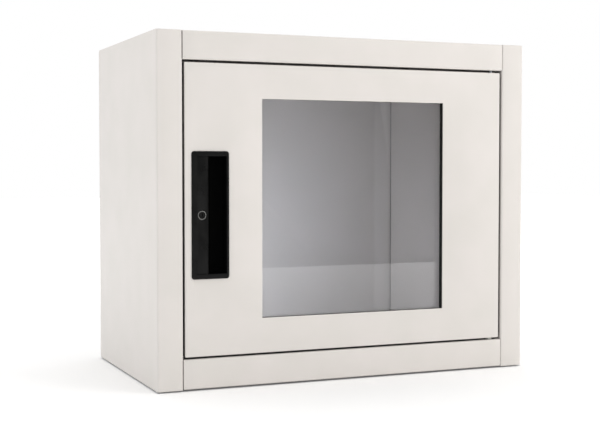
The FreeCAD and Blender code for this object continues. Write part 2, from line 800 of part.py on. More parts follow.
# ---------------------------------------------------------------------------
# Handle and lock
# ---------------------------------------------------------------------------
def handle_parts():
    """Recessed black handle: bezel, finger cup, land for the lock, and how it is held."""
    wall = dim.cup_wall
    gap = dim.clearance
    cup_back = door_front + dim.cup_depth
    body_x = (handle_left + wall + gap, handle_right - wall - gap)
    body_z = (handle_bottom + wall + gap, handle_top - wall - gap)
    land_x = (body_x[0], land_right)
    cup_x = (land_right - wall, body_x[1])
    cup_z = (land_low - wall, land_high + wall)
    solid = fuse("handle_body", [
        box("bezel", (handle_left, handle_right), (bezel_front, door_front),
            (handle_bottom, handle_top)),
        box("handle_land", land_x, (door_front, door_front + 3 * wall), body_z),
        box("handle_rim", body_x, (door_front, door_front + 2 * wall), body_z),
        box("cup_outside", cup_x, (door_front, cup_back), cup_z),
        cylinder("lock_boss", (lock_x, door_front, lock_z), dim.lock_radius + wall / 2,
                 boss_back - door_front, "y"),
    ])
    hole = dim.lock_radius + dim.running_fit
    plate_back = door_front + dim.lock_plate_thickness
    screw_x = land_left + dim.land_width / 2
    screw_inset = dim.handle_screw_inset
    screw_places = [(screw_x, land_low + screw_inset), (screw_x, land_high - screw_inset)]
    land_span = ((land_left, land_right), (land_low, land_high))
    tools = [
        box("finger_recess", (land_right, cup_right), (bezel_front - 1, cup_back - wall),
            (land_low, land_high)),
        box("land_recess", land_span[0], (bezel_front - 1, plate_back), land_span[1]),
        cylinder("lock_hole", (lock_x, bezel_front - 1, lock_z), hole, as_size(30), "y"),
    ]
    clamps = []
    screws = []
    screw = dim.handle_screw_radius
    strap_x = (screw_x - dim.clamp_width / 2, screw_x + dim.clamp_width / 2)
    for i, (x, z) in enumerate(screw_places):
        boss_end = door_front + 3 * wall
        tools.append(cylinder(f"screw_pilot_{i}", (x, door_front + wall, z), screw, 3 * wall, "y"))
        outward = -1 if i == 0 else 1
        near = z - outward * dim.clamp_overlap
        far = (handle_bottom - dim.clamp_reach) if i == 0 else (handle_top + dim.clamp_reach)
        span = (far, near) if i == 0 else (near, far)
        strap = box(f"clamp_strap_{i}", strap_x, (boss_end, boss_end + wall / 2), span)
        edge = handle_bottom if i == 0 else handle_top
        foot_span = (far, edge) if i == 0 else (edge, far)
        foot = box(f"clamp_foot_{i}", strap_x, (skin_back, boss_end), foot_span)
        drill = cylinder(f"clamp_hole_{i}", (x, boss_end - 1, z), screw, as_size(4), "y")
        clamps.append(cut(f"clamp_{i}", fuse(f"clamp_body_{i}", [strap, foot]), [drill]))
        shank = cylinder(f"clamp_shank_{i}", (x, door_front + wall, z), screw,
                         2 * wall + wall / 2, "y")
        head = cylinder(f"clamp_head_{i}", (x, boss_end + wall / 2, z), screw * 2, screw, "y")
        screws.append(fuse(f"clamp_screw_{i}", [shank, head]))
    node("handle_cup", cut("handle_cup", solid, tools))
    plate = box("lock_plate_blank", land_span[0], (door_front, plate_back), land_span[1])
    plate_hole = cylinder("lock_plate_hole", (lock_x, door_front - 1, lock_z), hole,
                          dim.lock_plate_thickness + 2, "y")
    node("lock_plate", cut("lock_plate", plate, [plate_hole]))
    node("handle_clamps", group("handle_clamps", clamps))
    node("handle_screws", group("handle_screws", screws))


def lock_parts():
    """Cylinder lock: fixed housing with its nut, and the plug that carries the cam."""
    bore = dim.plug_radius + dim.running_fit
    length = stop_front - lock_front
    barrel = cylinder("lock_barrel", (lock_x, lock_front, lock_z), dim.lock_radius, length, "y")
    barrel_bore = cylinder("lock_bore", (lock_x, lock_front - 1, lock_z), bore, length + 2, "y")
    # horseshoe clip, pushed down into flats on the barrel behind the boss
    clip_y = (boss_back, boss_back + dim.clip_thickness)
    inner = dim.plug_radius + dim.clip_bite
    outer = dim.lock_radius + dim.clip_bite
    clip_slab = box("clip_slab", (lock_x - outer, lock_x + outer), clip_y,
                    (lock_z - outer, lock_z + outer + dim.clip_tail))
    clip_gap = box("clip_gap", (lock_x - inner, lock_x + inner),
                   (boss_back - 1, boss_back + dim.clip_thickness + 1), (lock_z - outer - 1, lock_z + inner))
    clip = cut("lock_clip", clip_slab, [clip_gap])
    node("lock_clip", clip)
    node("lock_housing", cut("lock_housing", barrel, [barrel_bore, clip]))
    half_square = dim.plug_square / 2
    half_key = dim.keyway_width / 2
    keyway = box("keyway", (lock_x - half_key, lock_x + half_key),
                 (lock_front - 1, lock_front + dim.keyway_depth),
                 (lock_z - half_square, lock_z + half_square))
    plug = cylinder("plug_blank", (lock_x, lock_front, lock_z), dim.plug_radius,
                    cam_front - lock_front, "y")
    square_x = (lock_x - half_square, lock_x + half_square)
    square_z = (lock_z - half_square, lock_z + half_square)
    shank = box("plug_square", square_x, (cam_front, cam_back), square_z)
    node("lock_plug", cut("lock_plug", fuse("plug_body", [plug, shank]), [keyway]))
    half = dim.cam_width / 2
    cam = fuse("cam_body", [
        cylinder("cam_hub", (lock_x, cam_front, lock_z), half, dim.cam_thickness, "y"),
        box("cam_arm", (lock_x - half, lock_x + half), (cam_front, cam_back),
            (lock_z, lock_z + dim.cam_length)),
    ])
    square = box("cam_square", square_x, (cam_front - 1, cam_back + 1), square_z)
    node("lock_cam", cut("lock_cam", cam, [square]))
    node("cam_screw", cylinder("cam_screw", (lock_x, cam_back, lock_z),
                               half - dim.lock_setback, dim.cam_screw_height, "y"))


# ---------------------------------------------------------------------------
# The whole cabinet
# ---------------------------------------------------------------------------
side_shell("left_side_shell", -1)
side_shell("right_side_shell", 1)
top_shell()
bottom_shell()
back_panel()
liner("left_liner", -1)
liner("right_liner", 1)
gland_plate()
feet()
earth_point("cabinet", (-liner_x + dim.earth_margin, back - dim.earth_margin, floor_z),
            dim.cabinet_earth_length, "z", 4)
lower_hinge()
upper_hinge()
door_panel()
window_parts()
door_seal()
handle_parts()
lock_parts()
earth_point("door", (handle_left + 20, skin_back, door_bottom + dim.earth_margin),
            dim.door_earth_length, "y", 3)

doc.recompute()
for obj in doc.Objects:
    if "Invalid" in obj.State or "Error" in obj.State:
        raise RuntimeError(f"{obj.Name} did not build: {obj.State}")
for name, obj in nodes.items():
    if obj.Shape.isNull() or not obj.Shape.isValid() or not obj.Shape.Solids:
        raise RuntimeError(f"{name} has no valid solid")

os.makedirs("parts", exist_ok=True)
for name, obj in nodes.items():
    obj.Shape.exportStep(os.path.join("parts", name + ".step"))
    bounds = obj.Shape.BoundBox
    print(f"{name:22s} solids {len(obj.Shape.Solids)}  volume {obj.Shape.Volume:12.1f}"
          f"  x {bounds.XMin:7.1f} {bounds.XMax:7.1f}  y {bounds.YMin:7.1f} {bounds.YMax:7.1f}"
          f"  z {bounds.ZMin:6.1f} {bounds.ZMax:6.1f}")
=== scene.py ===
"""Studio picture of a wall cabinet: powder-coated folded steel, a glazed door on pins, a recessed
black grip handle with a key lock.  Every size is in metres, taken from the frame's boxes."""
import math

import bmesh
import bpy
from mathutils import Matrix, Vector


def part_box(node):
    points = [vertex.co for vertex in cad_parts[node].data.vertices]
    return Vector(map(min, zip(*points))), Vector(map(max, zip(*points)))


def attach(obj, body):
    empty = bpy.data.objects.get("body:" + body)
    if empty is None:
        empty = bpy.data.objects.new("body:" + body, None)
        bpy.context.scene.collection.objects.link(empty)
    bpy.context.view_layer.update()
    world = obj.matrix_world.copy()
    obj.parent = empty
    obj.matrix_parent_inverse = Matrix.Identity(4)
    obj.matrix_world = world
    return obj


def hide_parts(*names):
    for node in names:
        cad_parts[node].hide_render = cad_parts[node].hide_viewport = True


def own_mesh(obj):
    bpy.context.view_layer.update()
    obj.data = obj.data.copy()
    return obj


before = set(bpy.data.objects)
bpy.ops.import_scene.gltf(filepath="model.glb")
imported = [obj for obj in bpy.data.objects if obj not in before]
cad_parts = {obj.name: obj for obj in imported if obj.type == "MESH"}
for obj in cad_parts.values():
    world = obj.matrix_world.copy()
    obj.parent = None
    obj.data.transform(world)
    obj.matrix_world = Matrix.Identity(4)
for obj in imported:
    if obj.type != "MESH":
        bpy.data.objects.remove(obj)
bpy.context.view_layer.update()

MM = 0.001
WELD = 0.001 * MM

# ---------------------------------------------------------------------------
# Sizes that several pieces share, read from the frame's boxes
# ---------------------------------------------------------------------------
side_low, side_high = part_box("left_side_shell")
right_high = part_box("right_side_shell")[1]
rear_low, rear_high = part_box("back_panel")
top_low, top_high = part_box("top_shell")
liner_low, liner_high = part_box("left_liner")
door_low, door_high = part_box("door_panel")
gasket_low, gasket_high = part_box("window_gasket")
pane_low, pane_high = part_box("window_pane")
retainer_low, retainer_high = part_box("window_retainer")
seal_low, seal_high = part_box("door_seal")
handle_low, handle_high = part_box("handle_cup")
plate_low, plate_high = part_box("lock_plate")
lock_low, lock_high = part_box("lock_housing")
plug_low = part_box("lock_plug")[0]
cam_low, cam_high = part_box("lock_cam")
gland_low, gland_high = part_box("gland_plate")
bush_low, bush_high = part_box("lower_hinge_bush")
spring_low, spring_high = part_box("hinge_spring")

# Cabinet sheet, its bends, and the widths of what is bent from it
STEEL = 1.5 * MM
BEND = 3.0 * MM
INNER_BEND = BEND - STEEL
TOP_RAIL = 41.0 * MM
BOTTOM_RAIL = 43.5 * MM
STILE = 38.0 * MM
STOP_WIDTH = 21.4 * MM
RAIL_STOP = 17.0 * MM
REAR_FLANGE = 16.0 * MM
SEAM = 0.4 * MM
LINER_STEEL = 1.2 * MM
LINER_FLANGE = 12.0 * MM

# Door, window and seal
GLASS_OVERLAP = 12.0 * MM
RETAINER_FLANGE = 14.0 * MM
RETAINER_LIP = 11.6 * MM
DOOR_LIP = 14.0 * MM
HINGE_LIP = 20.0 * MM
SEAL_WIDTH = 5.0 * MM

# Handle and lock
CUP_WALL = 2.0 * MM
CUP_BORDER = 3.9 * MM
RIM_ROUND = 0.9 * MM
RING_CROWN = 5.7 * MM
# half-width of the painted highlight band on the lock ring
RING_HIGHLIGHT_HALF_WIDTH = 0.5 * MM
LOCK_BOSS_RADIUS = 8.05 * MM
LOCK_BOSS_DEPTH = 8.0 * MM
LOCK_HOLE = 7.05 * MM
HALF_SQUARE = 3.0 * MM
CLIP_FLAT = 5.6 * MM

# Hinge: a fixed pin below, a sprung pin above
PIN_RADIUS = 3.0 * MM
PIN_HOLE = 3.05 * MM
BUSH_NECK = 5.0 * MM
BUSH_COLLAR = 7.0 * MM
COLLAR_HEIGHT = 4.6 * MM
COLLAR_RADIUS = 5.0 * MM

# Fixings
GLAND_MARGIN = 16.0 * MM
WALL_HOLES_X = 420.0 * MM
WALL_HOLES_Z = 420.0 * MM
WALL_HOLE = 4.5 * MM
FOOT_RADIUS = 10.0 * MM
# how far the painted gap shade of the powder coat reaches
GAP_SHADE_DISTANCE = 8.0 * MM

# Studio
FLOOR_FRONT = 2.0
FLOOR_DEPTH = 12.0
FLOOR_WIDTH = 14.0
ROOM_LIGHT = 0.45
COVE_LIGHT = 0.78
# painted glow of the floor: emission from GLOW_LOW to GLOW_HIGH between these distances from the
# body
GLOW_FROM = 0.2
GLOW_TO = 2.0
GLOW_LOW = 0.07
GLOW_HIGH = 0.55

front = side_low.y
rear_inside = side_high.y
half_width = right_high.x
base_z = side_low.z
top_z = side_high.z
jamb_x = half_width - STILE
liner_x = jamb_x - STOP_WIDTH
stop_back = liner_low.y
stop_front = stop_back - STEEL
lintel_z = top_z - TOP_RAIL
sill_z = base_z + BOTTOM_RAIL
door_front = door_low.y
window_x = (gasket_low.x + GLASS_OVERLAP, gasket_high.x - GLASS_OVERLAP)
window_z = (gasket_low.z + GLASS_OVERLAP, gasket_high.z - GLASS_OVERLAP)
hinge = (bush_low + bush_high) / 2
lock_centre = (lock_low + lock_high) / 2


# ---------------------------------------------------------------------------
# Materials
# ---------------------------------------------------------------------------
def linear(hex_colour):
    """sRGB hex to a linear RGBA colour."""
    channels = [int(hex_colour[i:i + 2], 16) / 255 for i in (0, 2, 4)]
    scaled = [c / 12.92 if c <= 0.04045 else ((c + 0.055) / 1.055) ** 2.4 for c in channels]
    return (*scaled, 1.0)


def add(tree, kind, settings=None, links=None, stops=()):
    """Adds one shader node, sets its properties, sockets or colour stops, and links its inputs."""
    node = tree.nodes.new(kind)
    for key, value in (settings or {}).items():
        if isinstance(key, str) and hasattr(node, key):
            setattr(node, key, value)
        else:
            node.inputs[key].default_value = value
    for key, source in (links or {}).items():
        tree.links.new(source, node.inputs[key])
    for number, (position, hex_colour) in enumerate(stops):
        node.color_ramp.elements[number].position = position
        node.color_ramp.elements[number].color = linear(hex_colour)
    return node


def new_material(name):
    """Empty node material and its object coordinates."""
    material = bpy.data.materials.new(name)
    material.use_nodes = True
    tree = material.node_tree
    tree.nodes.clear()
    place = add(tree, "ShaderNodeTexCoord").outputs["Object"]
    return material, tree, place


def powder_coat():
    """Polyester powder coat, fine texture, warm grey-white: baked grains give a soft satin with
    a fine orange-peel.  The real grain is about 0.5 mm, drawn at 1.6 mm so that it shows.  In
    gaps a few millimetres wide and in inner corners an occlusion node darkens the colour:
    painted shade."""
    material, tree, place = new_material("polyester_powder_coat")
    fine = add(tree, "ShaderNodeTexNoise", {"Scale": 1 / (1.6 * MM), "Detail": 3.0,
                                            "Roughness": 0.6}, {"Vector": place})
    cloudy = add(tree, "ShaderNodeTexNoise", {"Scale": 1 / (60 * MM)}, {"Vector": place})
    colour = add(tree, "ShaderNodeValToRGB", {}, {"Fac": cloudy.outputs["Fac"]},
                 ((0.3, "DEDAD5"), (0.7, "E2DDD9")))
    # painted shade: an occlusion node darkens the coat's colour in gaps, seams and inner corners
    reach = add(tree, "ShaderNodeAmbientOcclusion", {"Distance": GAP_SHADE_DISTANCE, "samples": 12})
    gap_shade = add(tree, "ShaderNodeMapRange", {"From Min": 0.2, "From Max": 0.5, "To Min": 0.08,
                                            "To Max": 1.0}, {"Value": reach.outputs["AO"]})
    coat = add(tree, "ShaderNodeHueSaturation", {},
               {"Color": colour.outputs["Color"], "Value": gap_shade.outputs["Result"]})
    gloss = add(tree, "ShaderNodeMapRange", {"From Min": 0.3, "From Max": 0.7, "To Min": 0.42,
                                             "To Max": 0.52}, {"Value": fine.outputs["Fac"]})
    bump = add(tree, "ShaderNodeBump", {"Strength": 0.22, "Distance": 0.15 * MM},
               {"Height": fine.outputs["Fac"]})
    shader = add(tree, "ShaderNodeBsdfPrincipled", {"IOR": 1.5, "Metallic": 0.0}, {
        "Base Color": coat.outputs["Color"],
        "Roughness": gloss.outputs["Result"],
        "Normal": bump.outputs["Normal"],
    })
    add(tree, "ShaderNodeOutputMaterial", {}, {"Surface": shader.outputs["BSDF"]})
    return material


def black_nylon(name, low_colour, high_colour, smooth, coarse, specular, grit):
    """Glass-filled nylon, spark-eroded mould: black, with a grain of grit metres."""
    material, tree, place = new_material(name)
    fine = add(tree, "ShaderNodeTexNoise", {"Scale": 1 / grit, "Detail": 3.0, "Roughness": 0.6},
               {"Vector": place})
    wear = add(tree, "ShaderNodeTexNoise", {"Scale": 1 / (14 * MM)}, {"Vector": place})
    colour = add(tree, "ShaderNodeValToRGB", {}, {"Fac": wear.outputs["Fac"]},
                 ((0.3, low_colour), (0.7, high_colour)))
    gloss = add(tree, "ShaderNodeMapRange", {"From Min": 0.3, "From Max": 0.7, "To Min": smooth,
                                             "To Max": coarse}, {"Value": wear.outputs["Fac"]})
    bump = add(tree, "ShaderNodeBump", {"Strength": 0.25, "Distance": 0.06 * MM},
               {"Height": fine.outputs["Fac"]})
    shader = add(tree, "ShaderNodeBsdfPrincipled", {"IOR": 1.53, "Specular IOR Level": specular}, {
        "Base Color": colour.outputs["Color"],
        "Roughness": gloss.outputs["Result"],
        "Normal": bump.outputs["Normal"],
    })
    add(tree, "ShaderNodeOutputMaterial", {}, {"Surface": shader.outputs["BSDF"]})
    return material


def moulded_black():
    """Face and rim of the grip: satin, worn a little smoother by hands."""
    return black_nylon("satin_black_nylon", "080808", "0E0E0E", 0.26, 0.36, 0.15, 0.9 * MM)


def recess_black_painted_shade():
    """Finger recess: coarse spark finish, rough and dull; its colour darker than the rim's and its
    specular almost nil, as painted shade, so the recess reads near black.
    """
    return black_nylon("dull_black_nylon_painted_shade", "030303", "060606", 0.7, 0.85, 0.03, 1.4 * MM)


def die_cast_black():
    """Zinc die casting with a black coat; a light band round the ring's crown is a painted
    highlight.
    """
    material, tree, place = new_material("black_coated_zinc")
    wear = add(tree, "ShaderNodeTexNoise", {"Scale": 1 / (2 * MM), "Detail": 3.0},
               {"Vector": place})
    spot = add(tree, "ShaderNodeSeparateXYZ", {}, {"Vector": place})
    across = add(tree, "ShaderNodeCombineXYZ", {"Y": 0.0}, {"X": spot.outputs["X"],
                                                            "Z": spot.outputs["Z"]})
    radius = add(tree, "ShaderNodeVectorMath",
                 {"operation": "DISTANCE", 1: (lock_centre.x, 0, lock_centre.z)},
                 {0: across.outputs["Vector"]})
    # painted highlight: a light grey band of colour at RING_CROWN from the lock's axis
    painted_highlight = add(tree, "ShaderNodeMath", {"operation": "COMPARE", 1: RING_CROWN, 2: RING_HIGHLIGHT_HALF_WIDTH},
                 {0: radius.outputs["Value"]})
    colour = add(tree, "ShaderNodeValToRGB", {}, {"Fac": painted_highlight.outputs["Value"]},
                 ((0.0, "161616"), (1.0, "8A8A88")))
    gloss = add(tree, "ShaderNodeMapRange", {"From Min": 0.3, "From Max": 0.7, "To Min": 0.22,
                                             "To Max": 0.32}, {"Value": wear.outputs["Fac"]})
    shader = add(tree, "ShaderNodeBsdfPrincipled", {"IOR": 1.5, "Metallic": 0.7}, {
        "Base Color": colour.outputs["Color"],
        "Roughness": gloss.outputs["Result"],
    })
    add(tree, "ShaderNodeOutputMaterial", {}, {"Surface": shader.outputs["BSDF"]})
    return material


def float_glass():
    """Clear toughened float glass, 4 mm: each face mirrors a little, more at a low angle, and
    lets the rest straight through, a touch cooler."""
    material, tree, place = new_material("toughened_float_glass")
    ripple = add(tree, "ShaderNodeTexNoise", {"Scale": 1 / (180 * MM)}, {"Vector": place})
    bump = add(tree, "ShaderNodeBump", {"Strength": 0.02, "Distance": 0.05 * MM},
               {"Height": ripple.outputs["Fac"]}).outputs["Normal"]
    clear = add(tree, "ShaderNodeBsdfTransparent", {"Color": linear("FAFBFD")})
    mirror = add(tree, "ShaderNodeBsdfAnisotropic", {"Roughness": 0.0}, {"Normal": bump})
    edge = add(tree, "ShaderNodeFresnel", {"IOR": 1.52}, {"Normal": bump})
    mix = add(tree, "ShaderNodeMixShader", {}, {0: edge.outputs["Fac"], 1: clear.outputs["BSDF"],
                                                2: mirror.outputs["BSDF"]})
    add(tree, "ShaderNodeOutputMaterial", {}, {"Surface": mix.outputs["Shader"]})
    return material


def epdm_rubber():
    """Extruded EPDM: matt black, with a dusty bloom."""
    material, tree, place = new_material("extruded_epdm_rubber")
    bloom = add(tree, "ShaderNodeTexNoise", {"Scale": 1 / (5 * MM), "Detail": 4.0},
                {"Vector": place})
    colour = add(tree, "ShaderNodeValToRGB", {}, {"Fac": bloom.outputs["Fac"]},
                 ((0.3, "0C0C0C"), (0.7, "161615")))
    gloss = add(tree, "ShaderNodeMapRange", {"From Min": 0.3, "From Max": 0.7, "To Min": 0.62,
                                             "To Max": 0.78}, {"Value": bloom.outputs["Fac"]})
    bump = add(tree, "ShaderNodeBump", {"Strength": 0.2, "Distance": 0.05 * MM},
               {"Height": bloom.outputs["Fac"]})
    shader = add(tree, "ShaderNodeBsdfPrincipled", {"IOR": 1.5, "Specular IOR Level": 0.3}, {
        "Base Color": colour.outputs["Color"],
        "Roughness": gloss.outputs["Result"],
        "Normal": bump.outputs["Normal"],
    })
    add(tree, "ShaderNodeOutputMaterial", {}, {"Surface": shader.outputs["BSDF"]})
    return material


def foam():
    """Foamed-in-place polyurethane: dark grey with open pores about half a millimetre wide."""
    material, tree, place = new_material("foamed_polyurethane")
    pores = add(tree, "ShaderNodeTexVoronoi", {"Scale": 1 / (1.2 * MM)}, {"Vector": place})
    colour = add(tree, "ShaderNodeValToRGB", {}, {"Fac": pores.outputs["Distance"]},
                 ((0.0, "1E1E1E"), (0.6, "333232")))
    gloss = add(tree, "ShaderNodeMapRange", {"From Max": 0.6, "To Min": 0.85, "To Max": 0.95},
                {"Value": pores.outputs["Distance"]})
    bump = add(tree, "ShaderNodeBump", {"Strength": 0.5, "Distance": 0.3 * MM},
               {"Height": pores.outputs["Distance"]})
    shader = add(tree, "ShaderNodeBsdfPrincipled", {"IOR": 1.45}, {
        "Base Color": colour.outputs["Color"],
        "Roughness": gloss.outputs["Result"],
        "Normal": bump.outputs["Normal"],
    })
    add(tree, "ShaderNodeOutputMaterial", {}, {"Surface": shader.outputs["BSDF"]})
    return material


def zinc_plate():
    """Dull zinc-plated steel: bluish grey with faint spangle and rub marks."""
    material, tree, place = new_material("zinc_plated_steel")
    spangle = add(tree, "ShaderNodeTexVoronoi", {"Scale": 1 / (3 * MM)}, {"Vector": place})
    rub = add(tree, "ShaderNodeTexNoise", {"Scale": 1 / MM, "Detail": 4.0}, {"Vector": place})
    colour = add(tree, "ShaderNodeValToRGB", {}, {"Fac": spangle.outputs["Color"]},
                 ((0.3, "8B8F94"), (0.7, "A3A6AA")))
    gloss = add(tree, "ShaderNodeMapRange", {"From Min": 0.3, "From Max": 0.7, "To Min": 0.26,
                                             "To Max": 0.42}, {"Value": rub.outputs["Fac"]})
    shader = add(tree, "ShaderNodeBsdfPrincipled", {"Metallic": 1.0}, {
        "Base Color": colour.outputs["Color"],
        "Roughness": gloss.outputs["Result"],
    })
    add(tree, "ShaderNodeOutputMaterial", {}, {"Surface": shader.outputs["BSDF"]})
    return material


def natural_nylon():
    """Moulded natural nylon: milky off-white, slightly waxy."""
    material, tree, place = new_material("natural_nylon")
    cloud = add(tree, "ShaderNodeTexNoise", {"Scale": 1 / (3 * MM), "Detail": 3.0},
                {"Vector": place})
    colour = add(tree, "ShaderNodeValToRGB", {}, {"Fac": cloud.outputs["Fac"]},
                 ((0.3, "CFCBC0"), (0.7, "DAD7CE")))
    gloss = add(tree, "ShaderNodeMapRange", {"From Min": 0.3, "From Max": 0.7, "To Min": 0.4,
                                             "To Max": 0.5}, {"Value": cloud.outputs["Fac"]})
    shader = add(tree, "ShaderNodeBsdfPrincipled", {"IOR": 1.53, "Subsurface Weight": 0.1,
                                                    "Subsurface Scale": 1.5 * MM}, {
        "Base Color": colour.outputs["Color"],
        "Roughness": gloss.outputs["Result"],
    })
    add(tree, "ShaderNodeOutputMaterial", {}, {"Surface": shader.outputs["BSDF"]})
    return material


def turned_brass():
    """Turned brass, left bare: yellow metal with tool rings."""
    material, tree, place = new_material("turned_brass")
    rings = add(tree, "ShaderNodeTexNoise", {"Scale": 1 / (0.8 * MM), "Detail": 3.0},
                {"Vector": place})
    colour = add(tree, "ShaderNodeValToRGB", {}, {"Fac": rings.outputs["Fac"]},
                 ((0.3, "C39A4E"), (0.7, "D8B56A")))
    gloss = add(tree, "ShaderNodeMapRange", {"From Min": 0.3, "From Max": 0.7, "To Min": 0.22,
                                             "To Max": 0.36}, {"Value": rings.outputs["Fac"]})
    shader = add(tree, "ShaderNodeBsdfPrincipled", {"Metallic": 1.0}, {
        "Base Color": colour.outputs["Color"],
        "Roughness": gloss.outputs["Result"],
    })
    add(tree, "ShaderNodeOutputMaterial", {}, {"Surface": shader.outputs["BSDF"]})
    return material


def painted_glow_floor():
    """Milky acrylic table top with a faint fibre, and a painted glow: its emission rises with
    distance from the body, so the floor near the body stays darker as a painted shadow."""
    material, tree, place = new_material("painted_glow_floor")
    fibre = add(tree, "ShaderNodeTexNoise", {"Scale": 1 / (4 * MM), "Detail": 3.0},
                {"Vector": place})
    colour = add(tree, "ShaderNodeValToRGB", {}, {"Fac": fibre.outputs["Fac"]},
                 ((0.3, "FAFAFA"), (0.7, "FDFDFD")))
    # painted light and shadow: the emission grows with distance from the body
    away = add(tree, "ShaderNodeVectorMath", {"operation": "LENGTH"}, {0: place})
    glow = add(tree, "ShaderNodeMapRange",
               {"interpolation_type": "SMOOTHSTEP", "From Min": GLOW_FROM, "From Max": GLOW_TO,
                "To Min": GLOW_LOW, "To Max": GLOW_HIGH}, {"Value": away.outputs["Value"]})
    shader = add(tree, "ShaderNodeBsdfPrincipled", {"IOR": 1.3, "Roughness": 0.9,
                                                    "Emission Color": linear("FFFFFF")},
                 {"Base Color": colour.outputs["Color"],
                  "Emission Strength": glow.outputs["Result"]})
    add(tree, "ShaderNodeOutputMaterial", {}, {"Surface": shader.outputs["BSDF"]})
    return material


SLOT_MATERIALS = {
    "powder_coat": powder_coat(),
    "handle_plastic": moulded_black(),
    "lock_black": die_cast_black(),
    "window_glass": float_glass(),
    "seal_rubber": epdm_rubber(),
    "foam_seal": foam(),
    "zinc_plated_steel": zinc_plate(),
    "nylon": natural_nylon(),
    "brass": turned_brass(),
}


# ---------------------------------------------------------------------------
# Modelling helpers
# ---------------------------------------------------------------------------
def object_mode():
    """Leaves edit mode."""
    if bpy.context.object and bpy.context.object.mode != "OBJECT":
        bpy.ops.object.mode_set(mode="OBJECT")


def clear_selection():
    """Object mode with nothing selected."""
    object_mode()
    bpy.ops.object.select_all(action="DESELECT")


def only(piece):
    """Selects one object and makes it active."""
    clear_selection()
    piece.select_set(True)
    bpy.context.view_layer.objects.active = piece


def named(name):
    """Names the newly added primitive and bakes its size and place into its mesh."""
    piece = bpy.context.object
    piece.name = name
    piece.data.name = name
    bpy.ops.object.transform_apply(location=True, rotation=True, scale=True)
    return piece


def cube(name, low, high):
    """Box between two corners."""
    clear_selection()
    low, high = Vector(low), Vector(high)
    bpy.ops.mesh.primitive_cube_add(size=1, location=(low + high) / 2)
    bpy.context.object.scale = high - low
    return named(name)


AXIS_TURN = {"x": (0, math.pi / 2, 0), "y": (-math.pi / 2, 0, 0), "z": (0, 0, 0)}


def rod(name, start, radius, length, axis="z", sides=48, spin=0.0):
    """Cylinder from start along +axis, turned about it by spin."""
    clear_selection()
    way = Vector([1.0 if letter == axis else 0.0 for letter in "xyz"])
    turn = Vector(AXIS_TURN[axis]) + way * spin
    bpy.ops.mesh.primitive_cylinder_add(vertices=sides, radius=radius, depth=length,
                                        location=Vector(start) + way * length / 2,
                                        rotation=turn)
    return named(name)


def pick(piece, kind, wanted):
    """In edit mode, selects the vertices, edges or faces for which wanted(item) is true."""
    if bpy.context.object != piece or piece.mode != "EDIT":
        only(piece)
        bpy.ops.object.mode_set(mode="EDIT")
    bpy.ops.mesh.select_mode(type=kind)
    bpy.ops.mesh.select_all(action="DESELECT")
    mesh = bmesh.from_edit_mesh(piece.data)
    items = {"VERT": mesh.verts, "EDGE": mesh.edges, "FACE": mesh.faces}[kind]
    count = 0
    for item in items:
        if wanted(item):
            item.select_set(True)
            count += 1
    bmesh.update_edit_mesh(piece.data)
    return count


def middle(item):
    """Middle of an edge or a face."""
    total = Vector((0, 0, 0))
    for vert in item.verts:
        total += vert.co
    return total / len(item.verts)


def others(axis):
    """Numbers of the two coordinates across an axis."""
    return ["xyz".index(letter) for letter in "xyz" if letter != axis]


def near(a, b, slack=0.02 * MM):
    """Equal within a slack."""
    return abs(a - b) < slack


def within(spot, across, up):
    """Whether a spot lies inside a span of x and a span of z."""
    return across[0] < spot.x < across[1] and up[0] < spot.z < up[1]


def edit_all(piece):
    """Edit mode with the whole mesh selected."""
    only(piece)
    bpy.ops.object.mode_set(mode="EDIT")
    bpy.ops.mesh.select_all(action="SELECT")


def slice_at(piece, axis, *places):
    """Cuts the mesh across an axis at each place, and keeps both sides."""
    only(piece)
    bpy.ops.object.mode_set(mode="EDIT")
    way = [1.0 if letter == axis else 0.0 for letter in "xyz"]
    for spot in places:
        bpy.ops.mesh.select_all(action="SELECT")
        bpy.ops.mesh.bisect(plane_co=[c * spot for c in way], plane_no=way, threshold=1e-6)


def bevel_edges(piece, wanted, width, segments=4):
    """Rounds the edges for which wanted(edge) is true, and stays in edit mode."""
    if not pick(piece, "EDGE", wanted):
        raise RuntimeError(f"{piece.name}: no edge to bevel")
    bpy.ops.mesh.bevel(offset_type="OFFSET", offset=width, segments=segments, profile=0.5,
                       affect="EDGES", clamp_overlap=True)


def delete_faces(piece, wanted):
    """Removes the faces for which wanted(face) is true."""
    if not pick(piece, "FACE", wanted):
        raise RuntimeError(f"{piece.name}: no face to delete")
    bpy.ops.mesh.delete(type="FACE")


def push(way):
    """Extrudes what is selected by a vector."""
    bpy.ops.mesh.extrude_region_move(TRANSFORM_OT_translate={"value": tuple(way)})


def apply_modifier(piece, kind, settings):
    """Adds one modifier with its settings and applies it."""
    only(piece)
    modifier = piece.modifiers.new(kind.title(), kind)
    for key, value in settings.items():
        setattr(modifier, key, value)
    bpy.ops.object.modifier_apply(modifier=modifier.name)


def thicken(piece, thickness):
    """Gives a skin its sheet thickness, on the side away from its normals."""
    apply_modifier(piece, "SOLIDIFY", {"thickness": thickness, "offset": -1.0,
                                       "use_even_offset": True, "use_rim": True})


def soften(piece, width=0.3 * MM, segments=2, angle=40):
    """Breaks the sharp edges, as deburring and the coat do, and smooths the shading."""
    apply_modifier(piece, "BEVEL", {"width": width, "segments": segments, "limit_method": "ANGLE",
                                    "angle_limit": math.radians(angle), "use_clamp_overlap": True})
    only(piece)
    bpy.ops.object.shade_smooth_by_angle(angle=math.radians(35))


def face_way(piece, way, test):
    """Turns the skin so that the face that passes the test looks along way."""
    object_mode()
    for face in piece.data.polygons:
        if test(face):
            if face.normal.dot(Vector(way)) < 0:
                edit_all(piece)
                bpy.ops.mesh.flip_normals()
                object_mode()
            return
    raise RuntimeError(f"{piece.name}: no face to turn")


